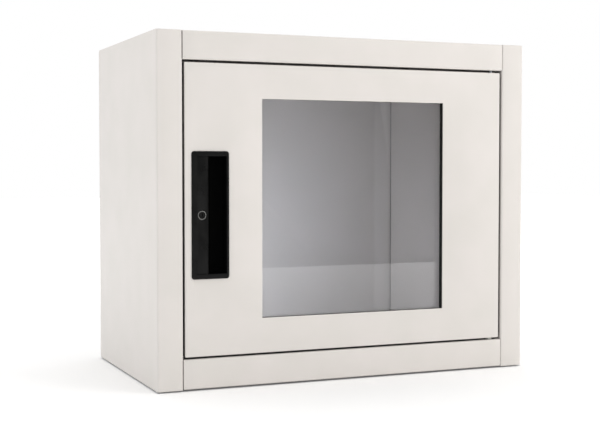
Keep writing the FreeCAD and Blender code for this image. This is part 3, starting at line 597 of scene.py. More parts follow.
def outward(piece):
    """Closed mesh: normals recalculated to the outside."""
    edit_all(piece)
    bpy.ops.mesh.remove_doubles(threshold=WELD)
    bpy.ops.mesh.normals_make_consistent(inside=False)
    object_mode()


def combine(piece, other, operation):
    """Boolean with another solid, which is used up."""
    apply_modifier(piece, "BOOLEAN", {"object": other, "operation": operation, "solver": "EXACT"})
    bpy.data.objects.remove(other, do_unlink=True)


def join(name, pieces):
    """One object of several separate solids."""
    clear_selection()
    bpy.context.view_layer.update()
    for piece in pieces:
        piece.select_set(True)
    bpy.context.view_layer.objects.active = pieces[0]
    bpy.ops.object.join()
    pieces[0].name = name
    pieces[0].data.name = name
    return pieces[0]


def copied(piece, name, shift):
    """Copy with its own mesh, moved by shift."""
    only(piece)
    bpy.ops.object.duplicate()
    other = bpy.context.object
    other.name = name
    other.data.name = name
    bpy.ops.transform.translate(value=tuple(shift))
    bpy.ops.object.transform_apply(location=True, rotation=True, scale=True)
    return other


FINISH_WORDS = {
    "powder_coat": "coated",
    "handle_plastic": "moulded",
    "lock_black": "cast",
    "window_glass": "glass",
    "seal_rubber": "rubber",
    "foam_seal": "foam",
    "zinc_plated_steel": "plated",
    "nylon": "nylon",
    "brass": "brass",
}


def fit(piece, body, slot, *nodes):
    """Hands a finished piece to the frame with its material, named for its node and finish."""
    object_mode()
    piece.name = f"{nodes[0]}_{FINISH_WORDS[slot]}"
    piece.data.name = piece.name
    piece.data.materials.clear()
    piece.data.materials.append(SLOT_MATERIALS[slot])
    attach(piece, body)
    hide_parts(*nodes)
    return piece


def section(axis, point, along):
    """Place in space of a section's point: the section's two axes come in X, Y, Z order."""
    a, b = point
    return Vector({"x": (along, a, b), "y": (a, along, b), "z": (a, b, along)}[axis])


def folded_skin(name, axis, span, path, bends, outward_way):
    """Outer skin of a folded sheet: one plane, then each panel extruded from the last edge.

    path holds the section's points, bends a radius for each fold, and outward_way the way that
    the first panel faces.
    """
    start, end = span
    corners = [section(axis, path[0], start), section(axis, path[1], end)]
    centre = (corners[0] + corners[1]) / 2
    size = [abs(c) for c in (corners[1] - corners[0])]
    flat = size.index(min(size))
    turn = {0: (0, math.pi / 2, 0), 1: (math.pi / 2, 0, 0), 2: (0, 0, 0)}[flat]
    clear_selection()
    bpy.ops.mesh.primitive_plane_add(size=1, location=centre, rotation=turn)
    width, height = {0: (size[2], size[1]), 1: (size[0], size[2]), 2: (size[0], size[1])}[flat]
    bpy.context.object.scale = (width, height, 1)
    piece = named(name)

    def at(point):
        def test(edge):
            spot = section(axis, point, 0)
            return all(near(v.co[i], spot[i]) for v in edge.verts for i in others(axis))
        return test

    for last, following in zip(path[1:], path[2:]):
        pick(piece, "EDGE", at(last))
        push(section(axis, following, 0) - section(axis, last, 0))
    for point, radius in zip(path[1:-1], bends):
        bevel_edges(piece, at(point), radius, 5)
    first = (section(axis, path[0], 0) + section(axis, path[1], 0)) / 2
    face_way(piece, outward_way,
             lambda face: all(abs(face.center[i] - first[i]) < 2.5 * MM for i in others(axis)))
    return piece


def lathe(name, start, axis, profile, sides=48):
    """Turned piece: a chain of (along, radius) points, extruded one by one and spun once round.

    A profile that starts and ends at the same point gives a ring.
    """
    clear_selection()
    bpy.ops.mesh.primitive_plane_add(size=MM)
    bpy.ops.object.mode_set(mode="EDIT")
    bpy.ops.mesh.select_mode(type="VERT")
    bpy.ops.mesh.select_all(action="SELECT")
    bpy.ops.mesh.merge(type="CENTER")
    bpy.ops.transform.translate(value=(profile[0][1], 0, profile[0][0]))
    for (low, inner), (high, outer) in zip(profile, profile[1:]):
        bpy.ops.mesh.extrude_vertices_move(
            TRANSFORM_OT_translate={"value": (outer - inner, 0, high - low)})
    bpy.ops.mesh.select_all(action="SELECT")
    bpy.ops.mesh.spin(steps=sides, angle=math.tau, center=(0, 0, 0), axis=(0, 0, 1))
    object_mode()
    bpy.context.object.location = start
    bpy.context.object.rotation_euler = AXIS_TURN[axis]
    piece = named(name)
    outward(piece)
    return piece


def chamfered(length, radius, bore=0.0, chamfer=0.4 * MM):
    """Profile of a plain turned length with broken corners, solid or bored through."""
    outside = [(0, radius - chamfer), (chamfer, radius), (length - chamfer, radius),
               (length, radius - chamfer)]
    if bore:
        half = chamfer / 2
        inside = [(length, bore + half), (length - half, bore), (half, bore), (0, bore + half)]
        return [*outside, *inside, outside[0]]
    return [(0, 0), *outside, (length, 0)]


def threaded(length, radius, pitch, depth):
    """Profile of a threaded length: crests and roots, one pair for each turn."""
    turns = int((length - pitch) / pitch)
    points = [(0, 0), (0, radius - depth)]
    for turn in range(turns):
        along = pitch / 2 + turn * pitch
        points.append((along, radius))
        points.append((along + pitch / 2, radius - depth))
    end = [(length - pitch / 3, radius - depth), (length, radius - 2 * depth), (length, 0)]
    return [*points, *end]


def drill(piece, centre, radius, length, axis, sides=40):
    """Round hole from centre along +axis."""
    combine(piece, rod(piece.name + "_drill", centre, radius, length, axis, sides), "DIFFERENCE")


def parallel(axis):
    """Test for edges that run along an axis."""
    def test(edge):
        a, b = (vert.co for vert in edge.verts)
        return all(near(a[i], b[i]) for i in others(axis))
    return test


def rounded_plate(name, low, high, axis, radius, segments=3):
    """Flat plate with its corners rounded about an axis."""
    plate = cube(name, low, high)
    bevel_edges(plate, parallel(axis), radius, segments)
    object_mode()
    return plate


def hex_nut(name, centre, axis, radius, thickness, bore):
    """Nut with chamfered corners and bored."""
    nut = rod(name, centre, radius, thickness, axis, 6, math.radians(30))
    blank = lathe(name + "_blank", centre, axis,
                  chamfered(thickness, radius, bore, radius * 0.12), 48)
    combine(nut, blank, "INTERSECT")
    soften(nut, 0.12 * MM, 1, 50)
    return nut


def window_ring(name, low, high, border, front_y, depth):
    """Rectangular ring: a plane inset by its border, opened, and pushed back to its depth."""
    clear_selection()
    centre = Vector(((low.x + high.x) / 2, front_y, (low.z + high.z) / 2))
    bpy.ops.mesh.primitive_plane_add(size=1, location=centre, rotation=(math.pi / 2, 0, 0))
    bpy.context.object.scale = (high.x - low.x, high.z - low.z, 1)
    piece = named(name)
    pick(piece, "FACE", lambda face: True)
    bpy.ops.mesh.inset(thickness=border)
    bpy.ops.mesh.delete(type="FACE")
    if depth:
        pick(piece, "FACE", lambda face: True)
        push((0, depth, 0))
        outward(piece)
    return piece


# ---------------------------------------------------------------------------
# Cabinet shell
# ---------------------------------------------------------------------------
def side_shell(name, side):
    """Rear flange, outer side, stile, jamb and door stop, bent from one sheet."""
    path = [
        (side * (half_width - REAR_FLANGE), rear_inside),
        (side * half_width, rear_inside),
        (side * half_width, front),
        (side * jamb_x, front),
        (side * jamb_x, stop_front),
        (side * liner_x, stop_front),
    ]
    shell = folded_skin(name, "z", (base_z, top_z), path, (BEND, BEND, BEND, INNER_BEND),
                        (0, 1, 0))
    slice_at(shell, "z", base_z + STEEL, top_z - STEEL)

    def tucked_end(face):
        """Ends of the jamb, the stop and the rear flange, which give way to top and bottom."""
        spot = middle(face)
        inside = abs(spot.x) < half_width - STEEL and spot.y > front + STEEL
        return inside and not base_z + STEEL < spot.z < top_z - STEEL

    delete_faces(shell, tucked_end)
    thicken(shell, STEEL)
    soften(shell)
    return fit(shell, "cabinet", "powder_coat", name)


def rail_shell(name, outer_z, edge_z, up):
    """Rear flange, sheet, front rail, reveal and door stop of the top (+1) or the bottom (-1)."""
    path = [
        (rear_inside, outer_z - up * REAR_FLANGE),
        (rear_inside, outer_z),
        (front, outer_z),
        (front, edge_z),
        (stop_front, edge_z),
        (stop_front, edge_z - up * RAIL_STOP),
    ]
    shell = folded_skin(name, "x", (top_low.x, top_high.x), path,
                        (BEND, BEND, BEND, INNER_BEND), (0, 1, 0))
    rail_end = jamb_x - SEAM
    stop_end = liner_x - SEAM
    flange_end = half_width - REAR_FLANGE - SEAM
    slice_at(shell, "x", -flange_end, -rail_end, -stop_end, stop_end, rail_end, flange_end)
    slice_at(shell, "y", front + STEEL)

    def trimmed_end(face):
        """What gives way to the side shells at each end."""
        spot = middle(face)
        across = abs(spot.x)
        below_sheet = (outer_z - spot.z) * up > BEND
        rail = across > rail_end and (spot.y < front + STEEL
                                      or (below_sheet and spot.y < stop_front + BEND))
        stop = across > stop_end and near(spot.y, stop_front, BEND) and \
            (edge_z - spot.z) * up > -BEND and spot.y > stop_front - INNER_BEND
        flange = across > flange_end and spot.y > rear_inside - STEEL
        return rail or stop or flange

    delete_faces(shell, trimmed_end)
    thicken(shell, STEEL)
    return shell


def top_shell():
    """Top sheet and rail, drilled for the upper hinge pin."""
    shell = rail_shell("top_shell", top_z, lintel_z, 1)
    drill(shell, (hinge.x, hinge.y, lintel_z - MM), PIN_HOLE, 4 * MM, "z")
    soften(shell)
    fit(shell, "cabinet", "powder_coat", "top_shell")


def bottom_shell():
    """Bottom sheet and rail, drilled for the lower hinge pin and cut out for the cables."""
    shell = rail_shell("bottom_shell", base_z, sill_z, -1)
    drill(shell, (hinge.x, hinge.y, sill_z - 3 * MM), PIN_RADIUS, 4 * MM, "z")
    opening = cube("cable_cutout",
                   (gland_low.x + GLAND_MARGIN, gland_low.y + GLAND_MARGIN, base_z - MM),
                   (gland_high.x - GLAND_MARGIN, gland_high.y - GLAND_MARGIN, base_z + 3 * MM))
    combine(shell, opening, "DIFFERENCE")
    soften(shell)
    fit(shell, "cabinet", "powder_coat", "bottom_shell")


def back_panel():
    """Flat rear sheet, its corners rounded, with four wall-fixing holes."""
    panel = rounded_plate("back_panel", rear_low, rear_high, "y", 2 * MM)
    for x in (-WALL_HOLES_X / 2, WALL_HOLES_X / 2):
        for z in (-WALL_HOLES_Z / 2, WALL_HOLES_Z / 2):
            drill(panel, (x, rear_inside - MM, (base_z + top_z) / 2 + z), WALL_HOLE, 4 * MM, "y")
    soften(panel)
    fit(panel, "cabinet", "powder_coat", "back_panel")


def liner(name, side):
    """Inner side wall with a flange at each end; the left one is slotted for the lock's cam."""
    path = [
        (side * (liner_x + LINER_FLANGE), stop_back),
        (side * liner_x, stop_back),
        (side * liner_x, liner_high.y),
        (side * (liner_x + LINER_FLANGE), liner_high.y),
    ]
    wall = folded_skin(name, "z", (liner_low.z, liner_high.z), path,
                       (2 * LINER_STEEL, 2 * LINER_STEEL), (0, -1, 0))
    thicken(wall, LINER_STEEL)
    if side < 0:
        slot_low = (-liner_x - 2 * LINER_FLANGE, stop_back - MM, cam_low.z - 5 * MM)
        slot_high = (-liner_x + MM, cam_high.y + 6 * MM, cam_high.z + 10 * MM)
        combine(wall, cube("cam_slot", slot_low, slot_high), "DIFFERENCE")
    soften(wall)
    fit(wall, "cabinet", "powder_coat", name)


def feet():
    """Four stick-on rubber pads, dished underneath."""
    low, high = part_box("rubber_feet")
    radius = FOOT_RADIUS
    height = high.z - low.z
    profile = [(0.5 * MM, 0), (0.5 * MM, 0.5 * radius), (0, 0.65 * radius), (0, 0.92 * radius),
               (0.4 * MM, radius), (height, radius), (height, 0)]
    pads = []
    for x in (low.x + radius, high.x - radius):
        for y in (low.y + radius, high.y - radius):
            pads.append(lathe("foot", (x, y, low.z), "z", profile))
    pads = join("rubber_feet", pads)
    soften(pads, 0.15 * MM)
    fit(pads, "cabinet", "seal_rubber", "rubber_feet")


# ---------------------------------------------------------------------------
# Cable entry
# ---------------------------------------------------------------------------
def gland_parts():
    """Cable plate with its gasket, screws and grommets."""
    corner = 4 * MM
    plate = rounded_plate("gland_plate", gland_low, gland_high, "z", corner, 4)
    pad_low, pad_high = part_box("gland_gasket")
    pad = rounded_plate("gland_gasket", pad_low, pad_high, "z", corner, 4)
    opening = cube("gasket_opening", (pad_low.x + GLAND_MARGIN, pad_low.y + GLAND_MARGIN,
                                      pad_low.z - MM),
                   (pad_high.x - GLAND_MARGIN, pad_high.y - GLAND_MARGIN, pad_high.z + MM))
    combine(pad, opening, "DIFFERENCE")
    seat_low, seat_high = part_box("cable_grommets")
    radius = (seat_high.y - seat_low.y) / 2
    centre_y = (seat_high.y + seat_low.y) / 2
    neck = radius - 2 * MM
    lip = gland_low.z - seat_low.z
    bore = 8 * MM
    height = seat_high.z - seat_low.z
    cut = 0.6 * MM
    profile = [(0, bore + cut), (0, radius - cut), (cut, radius), (lip, radius - cut / 2),
               (lip, neck), (height - lip, neck), (height - lip, radius - cut / 2),
               (height - cut, radius), (height, radius - cut), (height, bore + cut),
               (height - cut, bore), (cut, bore), (0, bore + cut)]
    grommets = []
    for x in (seat_low.x + radius, seat_high.x - radius):
        drill(plate, (x, centre_y, gland_low.z - MM), neck, 4 * MM, "z", 64)
        grommets.append(lathe("grommet", (x, centre_y, seat_low.z), "z", profile, 64))
    soften(plate)
    fit(plate, "cabinet", "powder_coat", "gland_plate")
    soften(pad, 0.3 * MM)
    fit(pad, "cabinet", "seal_rubber", "gland_gasket")
    grommets = join("cable_grommets", grommets)
    soften(grommets, 0.2 * MM)
    fit(grommets, "cabinet", "seal_rubber", "cable_grommets")
    low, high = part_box("gland_screws")
    head = 5 * MM
    thread = head / 2
    shank = high.z - low.z - head / 2
    screws = []
    for x in (low.x + head, high.x - head):
        for y in (low.y + head, high.y - head):
            outline = [(0, 0), (0, thread - 0.4 * MM), (0.4 * MM, thread), (shank, thread),
                       (shank, head), (shank + 1.4 * MM, head), (high.z - low.z, 3.4 * MM),
                       (high.z - low.z, 0)]
            screw = lathe("gland_screw", (x, y, low.z), "z", outline)
            recess = rod("recess", (x, y, high.z - 1.4 * MM), 1.9 * MM, 3 * MM, "z", 6)
            combine(screw, recess, "DIFFERENCE")
            screws.append(screw)
    screws = join("gland_screws", screws)
    soften(screws, 0.2 * MM)
    fit(screws, "cabinet", "zinc_plated_steel", "gland_screws")


def earth_point(prefix, body, axis):
    """Brass stud, threaded, with its nut."""
    low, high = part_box(prefix + "_earth_stud")
    centre = (low + high) / 2
    letter = "xyz".index(axis)
    start = centre.copy()
    start[letter] = low[letter]
    thread = 3 * MM
    stud = lathe(prefix + "_earth_stud", start, axis,
                 threaded(high[letter] - low[letter], thread, MM, 0.5 * MM))
    soften(stud, 0.05 * MM, 1, 60)
    fit(stud, body, "brass", prefix + "_earth_stud")
    low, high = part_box(prefix + "_earth_nut")
    start[letter] = low[letter]
    nut = hex_nut(prefix + "_earth_nut", start, axis, 1.92 * thread, high[letter] - low[letter],
                  thread)
    fit(nut, body, "brass", prefix + "_earth_nut")


# ---------------------------------------------------------------------------
# Hinge
# ---------------------------------------------------------------------------
def hinge_parts():
    """Pins, bush, spacer, brackets and guide on the hinge axis."""
    for name, bore in (("lower_hinge_bracket", PIN_RADIUS), ("upper_hinge_bracket", PIN_HOLE)):
        low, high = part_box(name)
        plate = rounded_plate(name, low, high, "z", 2 * MM)
        drill(plate, (hinge.x, hinge.y, low.z - MM), bore, high.z - low.z + 2 * MM, "z")
        soften(plate)
        fit(plate, "cabinet", "zinc_plated_steel", name)

    low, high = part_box("lower_hinge_pin")
    pin = lathe("lower_hinge_pin", (hinge.x, hinge.y, low.z), "z",
                chamfered(high.z - low.z, PIN_RADIUS, 0, 0.8 * MM))
    soften(pin, 0.1 * MM)
    fit(pin, "cabinet", "zinc_plated_steel", "lower_hinge_pin")

    low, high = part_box("hinge_spacer")
    spacer = lathe("hinge_spacer", (hinge.x, hinge.y, low.z), "z",
                   chamfered(high.z - low.z, COLLAR_RADIUS, PIN_RADIUS, 0.4 * MM))
    soften(spacer, 0.1 * MM)
    fit(spacer, "cabinet", "nylon", "hinge_spacer")

    low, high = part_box("lower_hinge_bush")
    height = high.z - low.z
    slope = 1.2 * MM
    profile = [(0, 3.2 * MM), (0, BUSH_NECK - 0.2 * MM), (0.2 * MM, BUSH_NECK), (STEEL, BUSH_NECK),
               (STEEL, BUSH_COLLAR - 0.4 * MM), (STEEL + 0.4 * MM, BUSH_COLLAR),
               (height - slope, BUSH_COLLAR), (height, BUSH_COLLAR - slope), (height, 3.6 * MM),
               (height - 0.5 * MM, PIN_HOLE), (0.2 * MM, PIN_HOLE), (0, 3.2 * MM)]
    bush = lathe("lower_hinge_bush", (hinge.x, hinge.y, low.z), "z", profile)
    soften(bush, 0.1 * MM)
    fit(bush, "door", "nylon", "lower_hinge_bush")

    low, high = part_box("upper_hinge_pin")
    collar_top = spring_high.z + COLLAR_HEIGHT - low.z
    collar_base = spring_high.z - low.z
    height = high.z - low.z
    broken = 0.4 * MM
    profile = [(0, 0), (0, 2.4 * MM), (0.6 * MM, PIN_RADIUS), (collar_base, PIN_RADIUS),
               (collar_base, COLLAR_RADIUS - broken), (collar_base + broken, COLLAR_RADIUS),
               (collar_top - broken, COLLAR_RADIUS), (collar_top, COLLAR_RADIUS - broken),
               (collar_top, PIN_RADIUS), (height - 1.5 * MM, PIN_RADIUS), (height, 1.8 * MM),
               (height, 0)]
    pin = lathe("upper_hinge_pin", (hinge.x, hinge.y, low.z), "z", profile)
    bar_length = hinge.x - low.x
    bar_radius = 2.95 * MM
    bar = lathe("finger_bar", (low.x, hinge.y, low.z + PIN_RADIUS), "x",
                [(0, 0), (0, 1.4 * MM), (0.5 * MM, 2.3 * MM), (1.4 * MM, bar_radius),
                 (bar_length, bar_radius), (bar_length, 0)])
    combine(pin, bar, "UNION")
    soften(pin, 0.15 * MM)
    fit(pin, "hinge_pin", "zinc_plated_steel", "upper_hinge_pin")

    low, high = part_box("pin_guide")
    shelf_top = spring_low.z
    guide = cube("pin_guide", low, (high.x, high.y, shelf_top))
    slice_at(guide, "y", low.y + LINER_STEEL)
    pick(guide, "FACE", lambda face: face.normal.z > 0.9 and middle(face).y < low.y + LINER_STEEL)
    push((0, 0, high.z - shelf_top))
    bevel_edges(guide, lambda edge: near(middle(edge).y, low.y) and near(middle(edge).z, low.z),
                1.5 * MM, 4)
    object_mode()
    drill(guide, (hinge.x, hinge.y, low.z - MM), PIN_HOLE, 4 * MM, "z")
    soften(guide)
    fit(guide, "door", "zinc_plated_steel", "pin_guide")


def hinge_spring():
    """Round-wire compression spring: the wire's section, screwed up the axis, its ends capped."""
    wire = 0.65 * MM
    mean = (spring_high.x - spring_low.x) / 2 - wire
    length = spring_high.z - spring_low.z
    turns = 7
    clear_selection()
    bpy.ops.mesh.primitive_circle_add(vertices=12, radius=wire, location=(mean, 0, wire),
                                      rotation=(math.pi / 2, 0, 0))
    spring = named("hinge_spring")
    apply_modifier(spring, "SCREW", {"axis": "Z", "angle": math.tau, "iterations": turns,
                                     "screw_offset": (length - 2 * wire) / turns, "steps": 32,
                                     "render_steps": 32, "use_smooth_shade": True})
    edit_all(spring)
    bpy.ops.mesh.remove_doubles(threshold=WELD)
    bpy.ops.mesh.fill_holes(sides=0)
    bpy.ops.mesh.select_all(action="SELECT")
    bpy.ops.mesh.normals_make_consistent(inside=False)
    bpy.ops.transform.translate(value=(hinge.x, hinge.y, spring_low.z))
    object_mode()
    bpy.ops.object.shade_smooth_by_angle(angle=math.radians(50))
    fit(spring, "door", "zinc_plated_steel", "hinge_spring")
    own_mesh(spring)


# ---------------------------------------------------------------------------
# Door
# ---------------------------------------------------------------------------
def door_panel():
    """Pan pressed from one sheet, its rear lips turned in, with window and handle openings."""
    pan = rounded_plate("door_panel", door_low, door_high, "y", 1.2 * MM)
    bevel_edges(pan, lambda edge: all(near(v.co.y, door_front) for v in edge.verts),
                BEND - 0.4 * MM, 5)
    handle_x = (handle_low.x + CUP_WALL, handle_high.x - CUP_WALL)
    handle_z = (handle_low.z + CUP_WALL, handle_high.z - CUP_WALL)
    lip_x = (door_low.x + DOOR_LIP, door_high.x - HINGE_LIP)
    lip_z = (door_low.z + DOOR_LIP, door_high.z - DOOR_LIP)
    slice_at(pan, "x", *window_x, *handle_x, *lip_x)
    slice_at(pan, "z", *window_z, *handle_z, *lip_z)

    def opening(face):
        """Window and handle openings of the skin, and what lies between the rear lips."""
        spot = middle(face)
        if near(spot.y, door_front):
            return within(spot, window_x, window_z) or within(spot, handle_x, handle_z)
        return near(spot.y, door_high.y) and within(spot, lip_x, lip_z)

    delete_faces(pan, opening)
    pick(pan, "FACE", lambda face: True)
    bpy.ops.mesh.normals_make_consistent(inside=False)
    face_way(pan, (0, -1, 0), lambda face: near(face.center.y, door_front))
    thicken(pan, STEEL)
    drill(pan, (hinge.x, hinge.y, door_high.z - 3 * MM), PIN_HOLE, 5 * MM, "z")
    drill(pan, (hinge.x, hinge.y, door_low.z - MM), BUSH_NECK, 4 * MM, "z")
    soften(pan)
    fit(pan, "door", "powder_coat", "door_panel")


def window_parts():
    """Pane, the gasket it is pressed against, and the frame, studs and nuts that press it."""
    gasket = window_ring("window_gasket", gasket_low, gasket_high, GLASS_OVERLAP, gasket_low.y,
                         gasket_high.y - gasket_low.y)

    def reveal(face):
        """The four faces that line the opening."""
        spot = middle(face)
        across = window_x[0] - MM < spot.x < window_x[1] + MM
        upward = window_z[0] - MM < spot.z < window_z[1] + MM
        return abs(face.normal.y) < 0.1 and across and upward

    pick(gasket, "FACE", reveal)
    bpy.ops.mesh.inset(thickness=1.6 * MM, depth=-0.9 * MM)
    soften(gasket, 0.6 * MM, 3)
    fit(gasket, "door", "seal_rubber", "window_gasket")

    pane = rounded_plate("window_pane", pane_low, pane_high, "y", 3 * MM, 4)
    soften(pane, 0.4 * MM, 1)
    fit(pane, "door", "window_glass", "window_pane")

    retainer = window_ring("window_retainer", retainer_low, retainer_high, RETAINER_FLANGE,
                           retainer_low.y + LINER_STEEL, 0)
    wall_edge = (retainer_low.x + RETAINER_FLANGE, retainer_high.x - RETAINER_FLANGE)
    wall_end = (retainer_low.z + RETAINER_FLANGE, retainer_high.z - RETAINER_FLANGE)
    slack = 0.01 * MM

    def on_wall(vert):
        across = wall_edge[0] - slack < vert.co.x < wall_edge[1] + slack
        return across and wall_end[0] - slack < vert.co.z < wall_end[1] + slack

    def rear_rim(vert):
        """Where the wall's free edge turns in to its lip."""
        at_side = near(vert.co.x, wall_edge[0]) or near(vert.co.x, wall_edge[1])
        at_end = near(vert.co.z, wall_end[0]) or near(vert.co.z, wall_end[1])
        return near(vert.co.y, retainer_high.y) and on_wall(vert) and (at_side or at_end)

    pick(retainer, "EDGE", lambda edge: all(on_wall(v) for v in edge.verts))
    push((0, retainer_high.y - retainer_low.y - LINER_STEEL, 0))
    bpy.ops.mesh.edge_face_add()
    bpy.ops.mesh.inset(thickness=RETAINER_LIP)
    bpy.ops.mesh.delete(type="FACE")
    bevel_edges(retainer, lambda edge: all(rear_rim(v) for v in edge.verts), 2 * MM, 3)
    pick(retainer, "FACE", lambda face: True)
    bpy.ops.mesh.normals_make_consistent(inside=False)
    face_way(retainer, (0, 1, 0), lambda face: near(face.center.y, retainer_high.y))
    apply_modifier(retainer, "SOLIDIFY", {"thickness": LINER_STEEL, "offset": -1.0,
                                          "solidify_mode": "NON_MANIFOLD",
                                          "nonmanifold_thickness_mode": "CONSTRAINTS"})
    soften(retainer, 0.2 * MM)
    fit(retainer, "door", "powder_coat", "window_retainer")

    stud_low, stud_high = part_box("retainer_studs")
    nut_low, nut_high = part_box("retainer_nuts")
    radius = 2 * MM
    columns = [stud_low.x + radius, (stud_low.x + stud_high.x) / 2, stud_high.x - radius]
    rows = [stud_low.z + radius, (stud_low.z + stud_high.z) / 2, stud_high.z - radius]
    first = (columns[0], stud_low.y, rows[0])
    stud = lathe("retainer_stud", first, "y",
                 threaded(stud_high.y - stud_low.y, radius, 0.7 * MM, 0.35 * MM), 24)
    nut = hex_nut("retainer_nut", (columns[0], nut_low.y, rows[0]), "y", 2 * radius,
                  nut_high.y - nut_low.y, radius)
    studs, nuts = [stud], [nut]
    for i, x in enumerate(columns):
        for k, z in enumerate(rows):
            if (i, k) in ((0, 0), (1, 1)):
                continue
            shift = (x - columns[0], 0, z - rows[0])
            studs.append(copied(stud, "retainer_stud", shift))
            nuts.append(copied(nut, "retainer_nut", shift))
    studs = join("retainer_studs", studs)
    only(studs)
    bpy.ops.object.shade_smooth_by_angle(angle=math.radians(25))
    fit(studs, "door", "zinc_plated_steel", "retainer_studs")
    fit(join("retainer_nuts", nuts), "door", "zinc_plated_steel", "retainer_nuts")


def door_seal():
    """Foamed strip laid on the door's rear lip, half-round on its free side."""
    depth = seal_high.y - seal_low.y
    seal = window_ring("door_seal", seal_low, seal_high, SEAL_WIDTH, seal_low.y, depth)

    def rear_edge(edge):
        """The long edges of the free side, not the joints at its corners."""
        at_rear = all(near(v.co.y, seal_high.y) for v in edge.verts)
        return at_rear and (parallel("x")(edge) or parallel("z")(edge))

    bevel_edges(seal, rear_edge, 1.9 * MM, 5)
    object_mode()
    bpy.ops.object.shade_smooth_by_angle(angle=math.radians(40))
    fit(seal, "door", "foam_seal", "door_seal")


# ---------------------------------------------------------------------------
# Handle and lock
# ---------------------------------------------------------------------------
def handle_cup():
    """Moulded grip: bezel with a rolled rim, sunk land for the lock, and a deep finger recess."""
    land_x = (plate_low.x, plate_high.x)
    recess_x = (plate_high.x, handle_high.x - CUP_BORDER)
    recess_z = (plate_low.z, plate_high.z)
    step = CUP_WALL + 0.4 * MM
    body_x = (handle_low.x + step, handle_high.x - step)
    body_z = (handle_low.z + step, handle_high.z - step)
    cup_x = (plate_high.x - CUP_WALL, body_x[1])
    cup_z = (recess_z[0] - CUP_WALL, recess_z[1] + CUP_WALL)
    bezel_high = (handle_high.x, door_front, handle_high.z)
    cup = rounded_plate("handle_cup", handle_low, bezel_high, "y", 4 * MM, 6)
    bevel_edges(cup, lambda edge: all(near(v.co.y, handle_low.y) for v in edge.verts),
                1.4 * MM, 4)
    slice_at(cup, "x", *land_x, recess_x[1], *body_x, cup_x[0])
    slice_at(cup, "z", *recess_z, *body_z, *cup_z)

    def rear_faces(y, across, up):
        return lambda face: near(middle(face).y, y) and face.normal.y > 0.9 and \
            within(middle(face), across, up)

    def front_faces(across, up):
        return lambda face: near(middle(face).y, handle_low.y) and within(middle(face), across, up)

    body_back = door_front + 2 * CUP_WALL
    pick(cup, "FACE", rear_faces(door_front, body_x, body_z))
    push((0, body_back - door_front, 0))
    behind_land = rear_faces(body_back, (body_x[0], land_x[1]), body_z)
    behind_cup = rear_faces(body_back, (land_x[1], cup_x[1]), cup_z)
    pick(cup, "FACE", lambda face: behind_land(face) or behind_cup(face))
    push((0, CUP_WALL, 0))
    land_back = body_back + CUP_WALL
    pick(cup, "FACE", rear_faces(land_back, cup_x, cup_z))
    push((0, handle_high.y - land_back, 0))
    pick(cup, "FACE", front_faces(land_x, recess_z))
    push((0, plate_high.y - handle_low.y, 0))
    pick(cup, "FACE", front_faces(recess_x, recess_z))
    push((0, handle_high.y - CUP_WALL - handle_low.y, 0))
    outward(cup)
    boss = rod("lock_boss", (lock_centre.x, door_front + CUP_WALL, lock_centre.z),
               LOCK_BOSS_RADIUS, LOCK_BOSS_DEPTH - CUP_WALL, "y", 64)
    combine(cup, boss, "UNION")
    drill(cup, (lock_centre.x, handle_low.y - MM, lock_centre.z), LOCK_HOLE, 30 * MM, "y", 64)
    soften(cup, RIM_ROUND, 3)
    fit(cup, "door", "handle_plastic", "handle_cup")
    # second slot: the darker recess material, painted shade in the finger recess
    cup.data.materials.append(recess_black_painted_shade())

    def in_recess(face):
        """Floor and walls of the finger recess, below the land."""
        spot = middle(face)
        deep = plate_low.y + 2 * RIM_ROUND < spot.y < handle_high.y - CUP_WALL + 0.1 * MM
        return deep and within(spot, (recess_x[0] - MM, recess_x[1] + MM), recess_z)

    pick(cup, "FACE", in_recess)
    cup.active_material_index = 1
    bpy.ops.object.material_slot_assign()
    object_mode()


def lock_plate():
    """Cover plate in the land, round the lock."""
    plate = rounded_plate("lock_plate", plate_low, plate_high, "y", 0.8 * MM)
    drill(plate, (lock_centre.x, plate_low.y - MM, lock_centre.z), LOCK_HOLE, 4 * MM, "y", 64)
    soften(plate, 0.3 * MM, 3)
    fit(plate, "door", "handle_plastic", "lock_plate")


def handle_fixings():
    """Two bent straps behind the handle, each with its screw."""
    low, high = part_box("handle_clamps")
    foot_length = 8 * MM
    strap_length = 14 * MM
    straps = []
    for end, inward in ((low.z, 1), (high.z, -1)):
        span = sorted((end, end + inward * foot_length))
        strap = cube("handle_clamp", (low.x, low.y, span[0]), (high.x, high.y, span[1]))
        reach = end + inward * foot_length
        slice_at(strap, "y", high.y - MM)
        pick(strap, "FACE", lambda face: near(middle(face).z, reach) and
             middle(face).y > high.y - MM)
        push((0, 0, inward * (strap_length + 4 * MM)))
        bevel_edges(strap, lambda edge: near(middle(edge).z, end) and near(middle(edge).y, high.y),
                    1.5 * MM, 4)
        outward(strap)
        straps.append(strap)
    straps = join("handle_clamps", straps)
    soften(straps, 0.25 * MM)
    fit(straps, "door", "zinc_plated_steel", "handle_clamps")

    low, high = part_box("handle_screws")
    head = 3 * MM
    length = high.y - low.y
    shank = length - 1.5 * MM
    outline = [(0, 0), (0, 1.1 * MM), (0.4 * MM, 1.5 * MM), (shank, 1.5 * MM), (shank, head),
               (length - 0.5 * MM, 0.93 * head), (length, 0.7 * head), (length, 0)]
    arm = 1.7 * MM
    blade = 0.35 * MM
    screws = []
    for z in (low.z + head, high.z - head):
        centre = (low.x + head, low.y, z)
        screw = lathe("handle_screw", centre, "y", outline, 32)
        for across, upward in ((arm, blade), (blade, arm)):
            recess = cube("recess", (centre[0] - across, high.y - 0.9 * MM, z - upward),
                          (centre[0] + across, high.y + MM, z + upward))
            combine(screw, recess, "DIFFERENCE")
        screws.append(screw)
    screws = join("handle_screws", screws)
    soften(screws, 0.1 * MM, 1)
    fit(screws, "door", "zinc_plated_steel", "handle_screws")


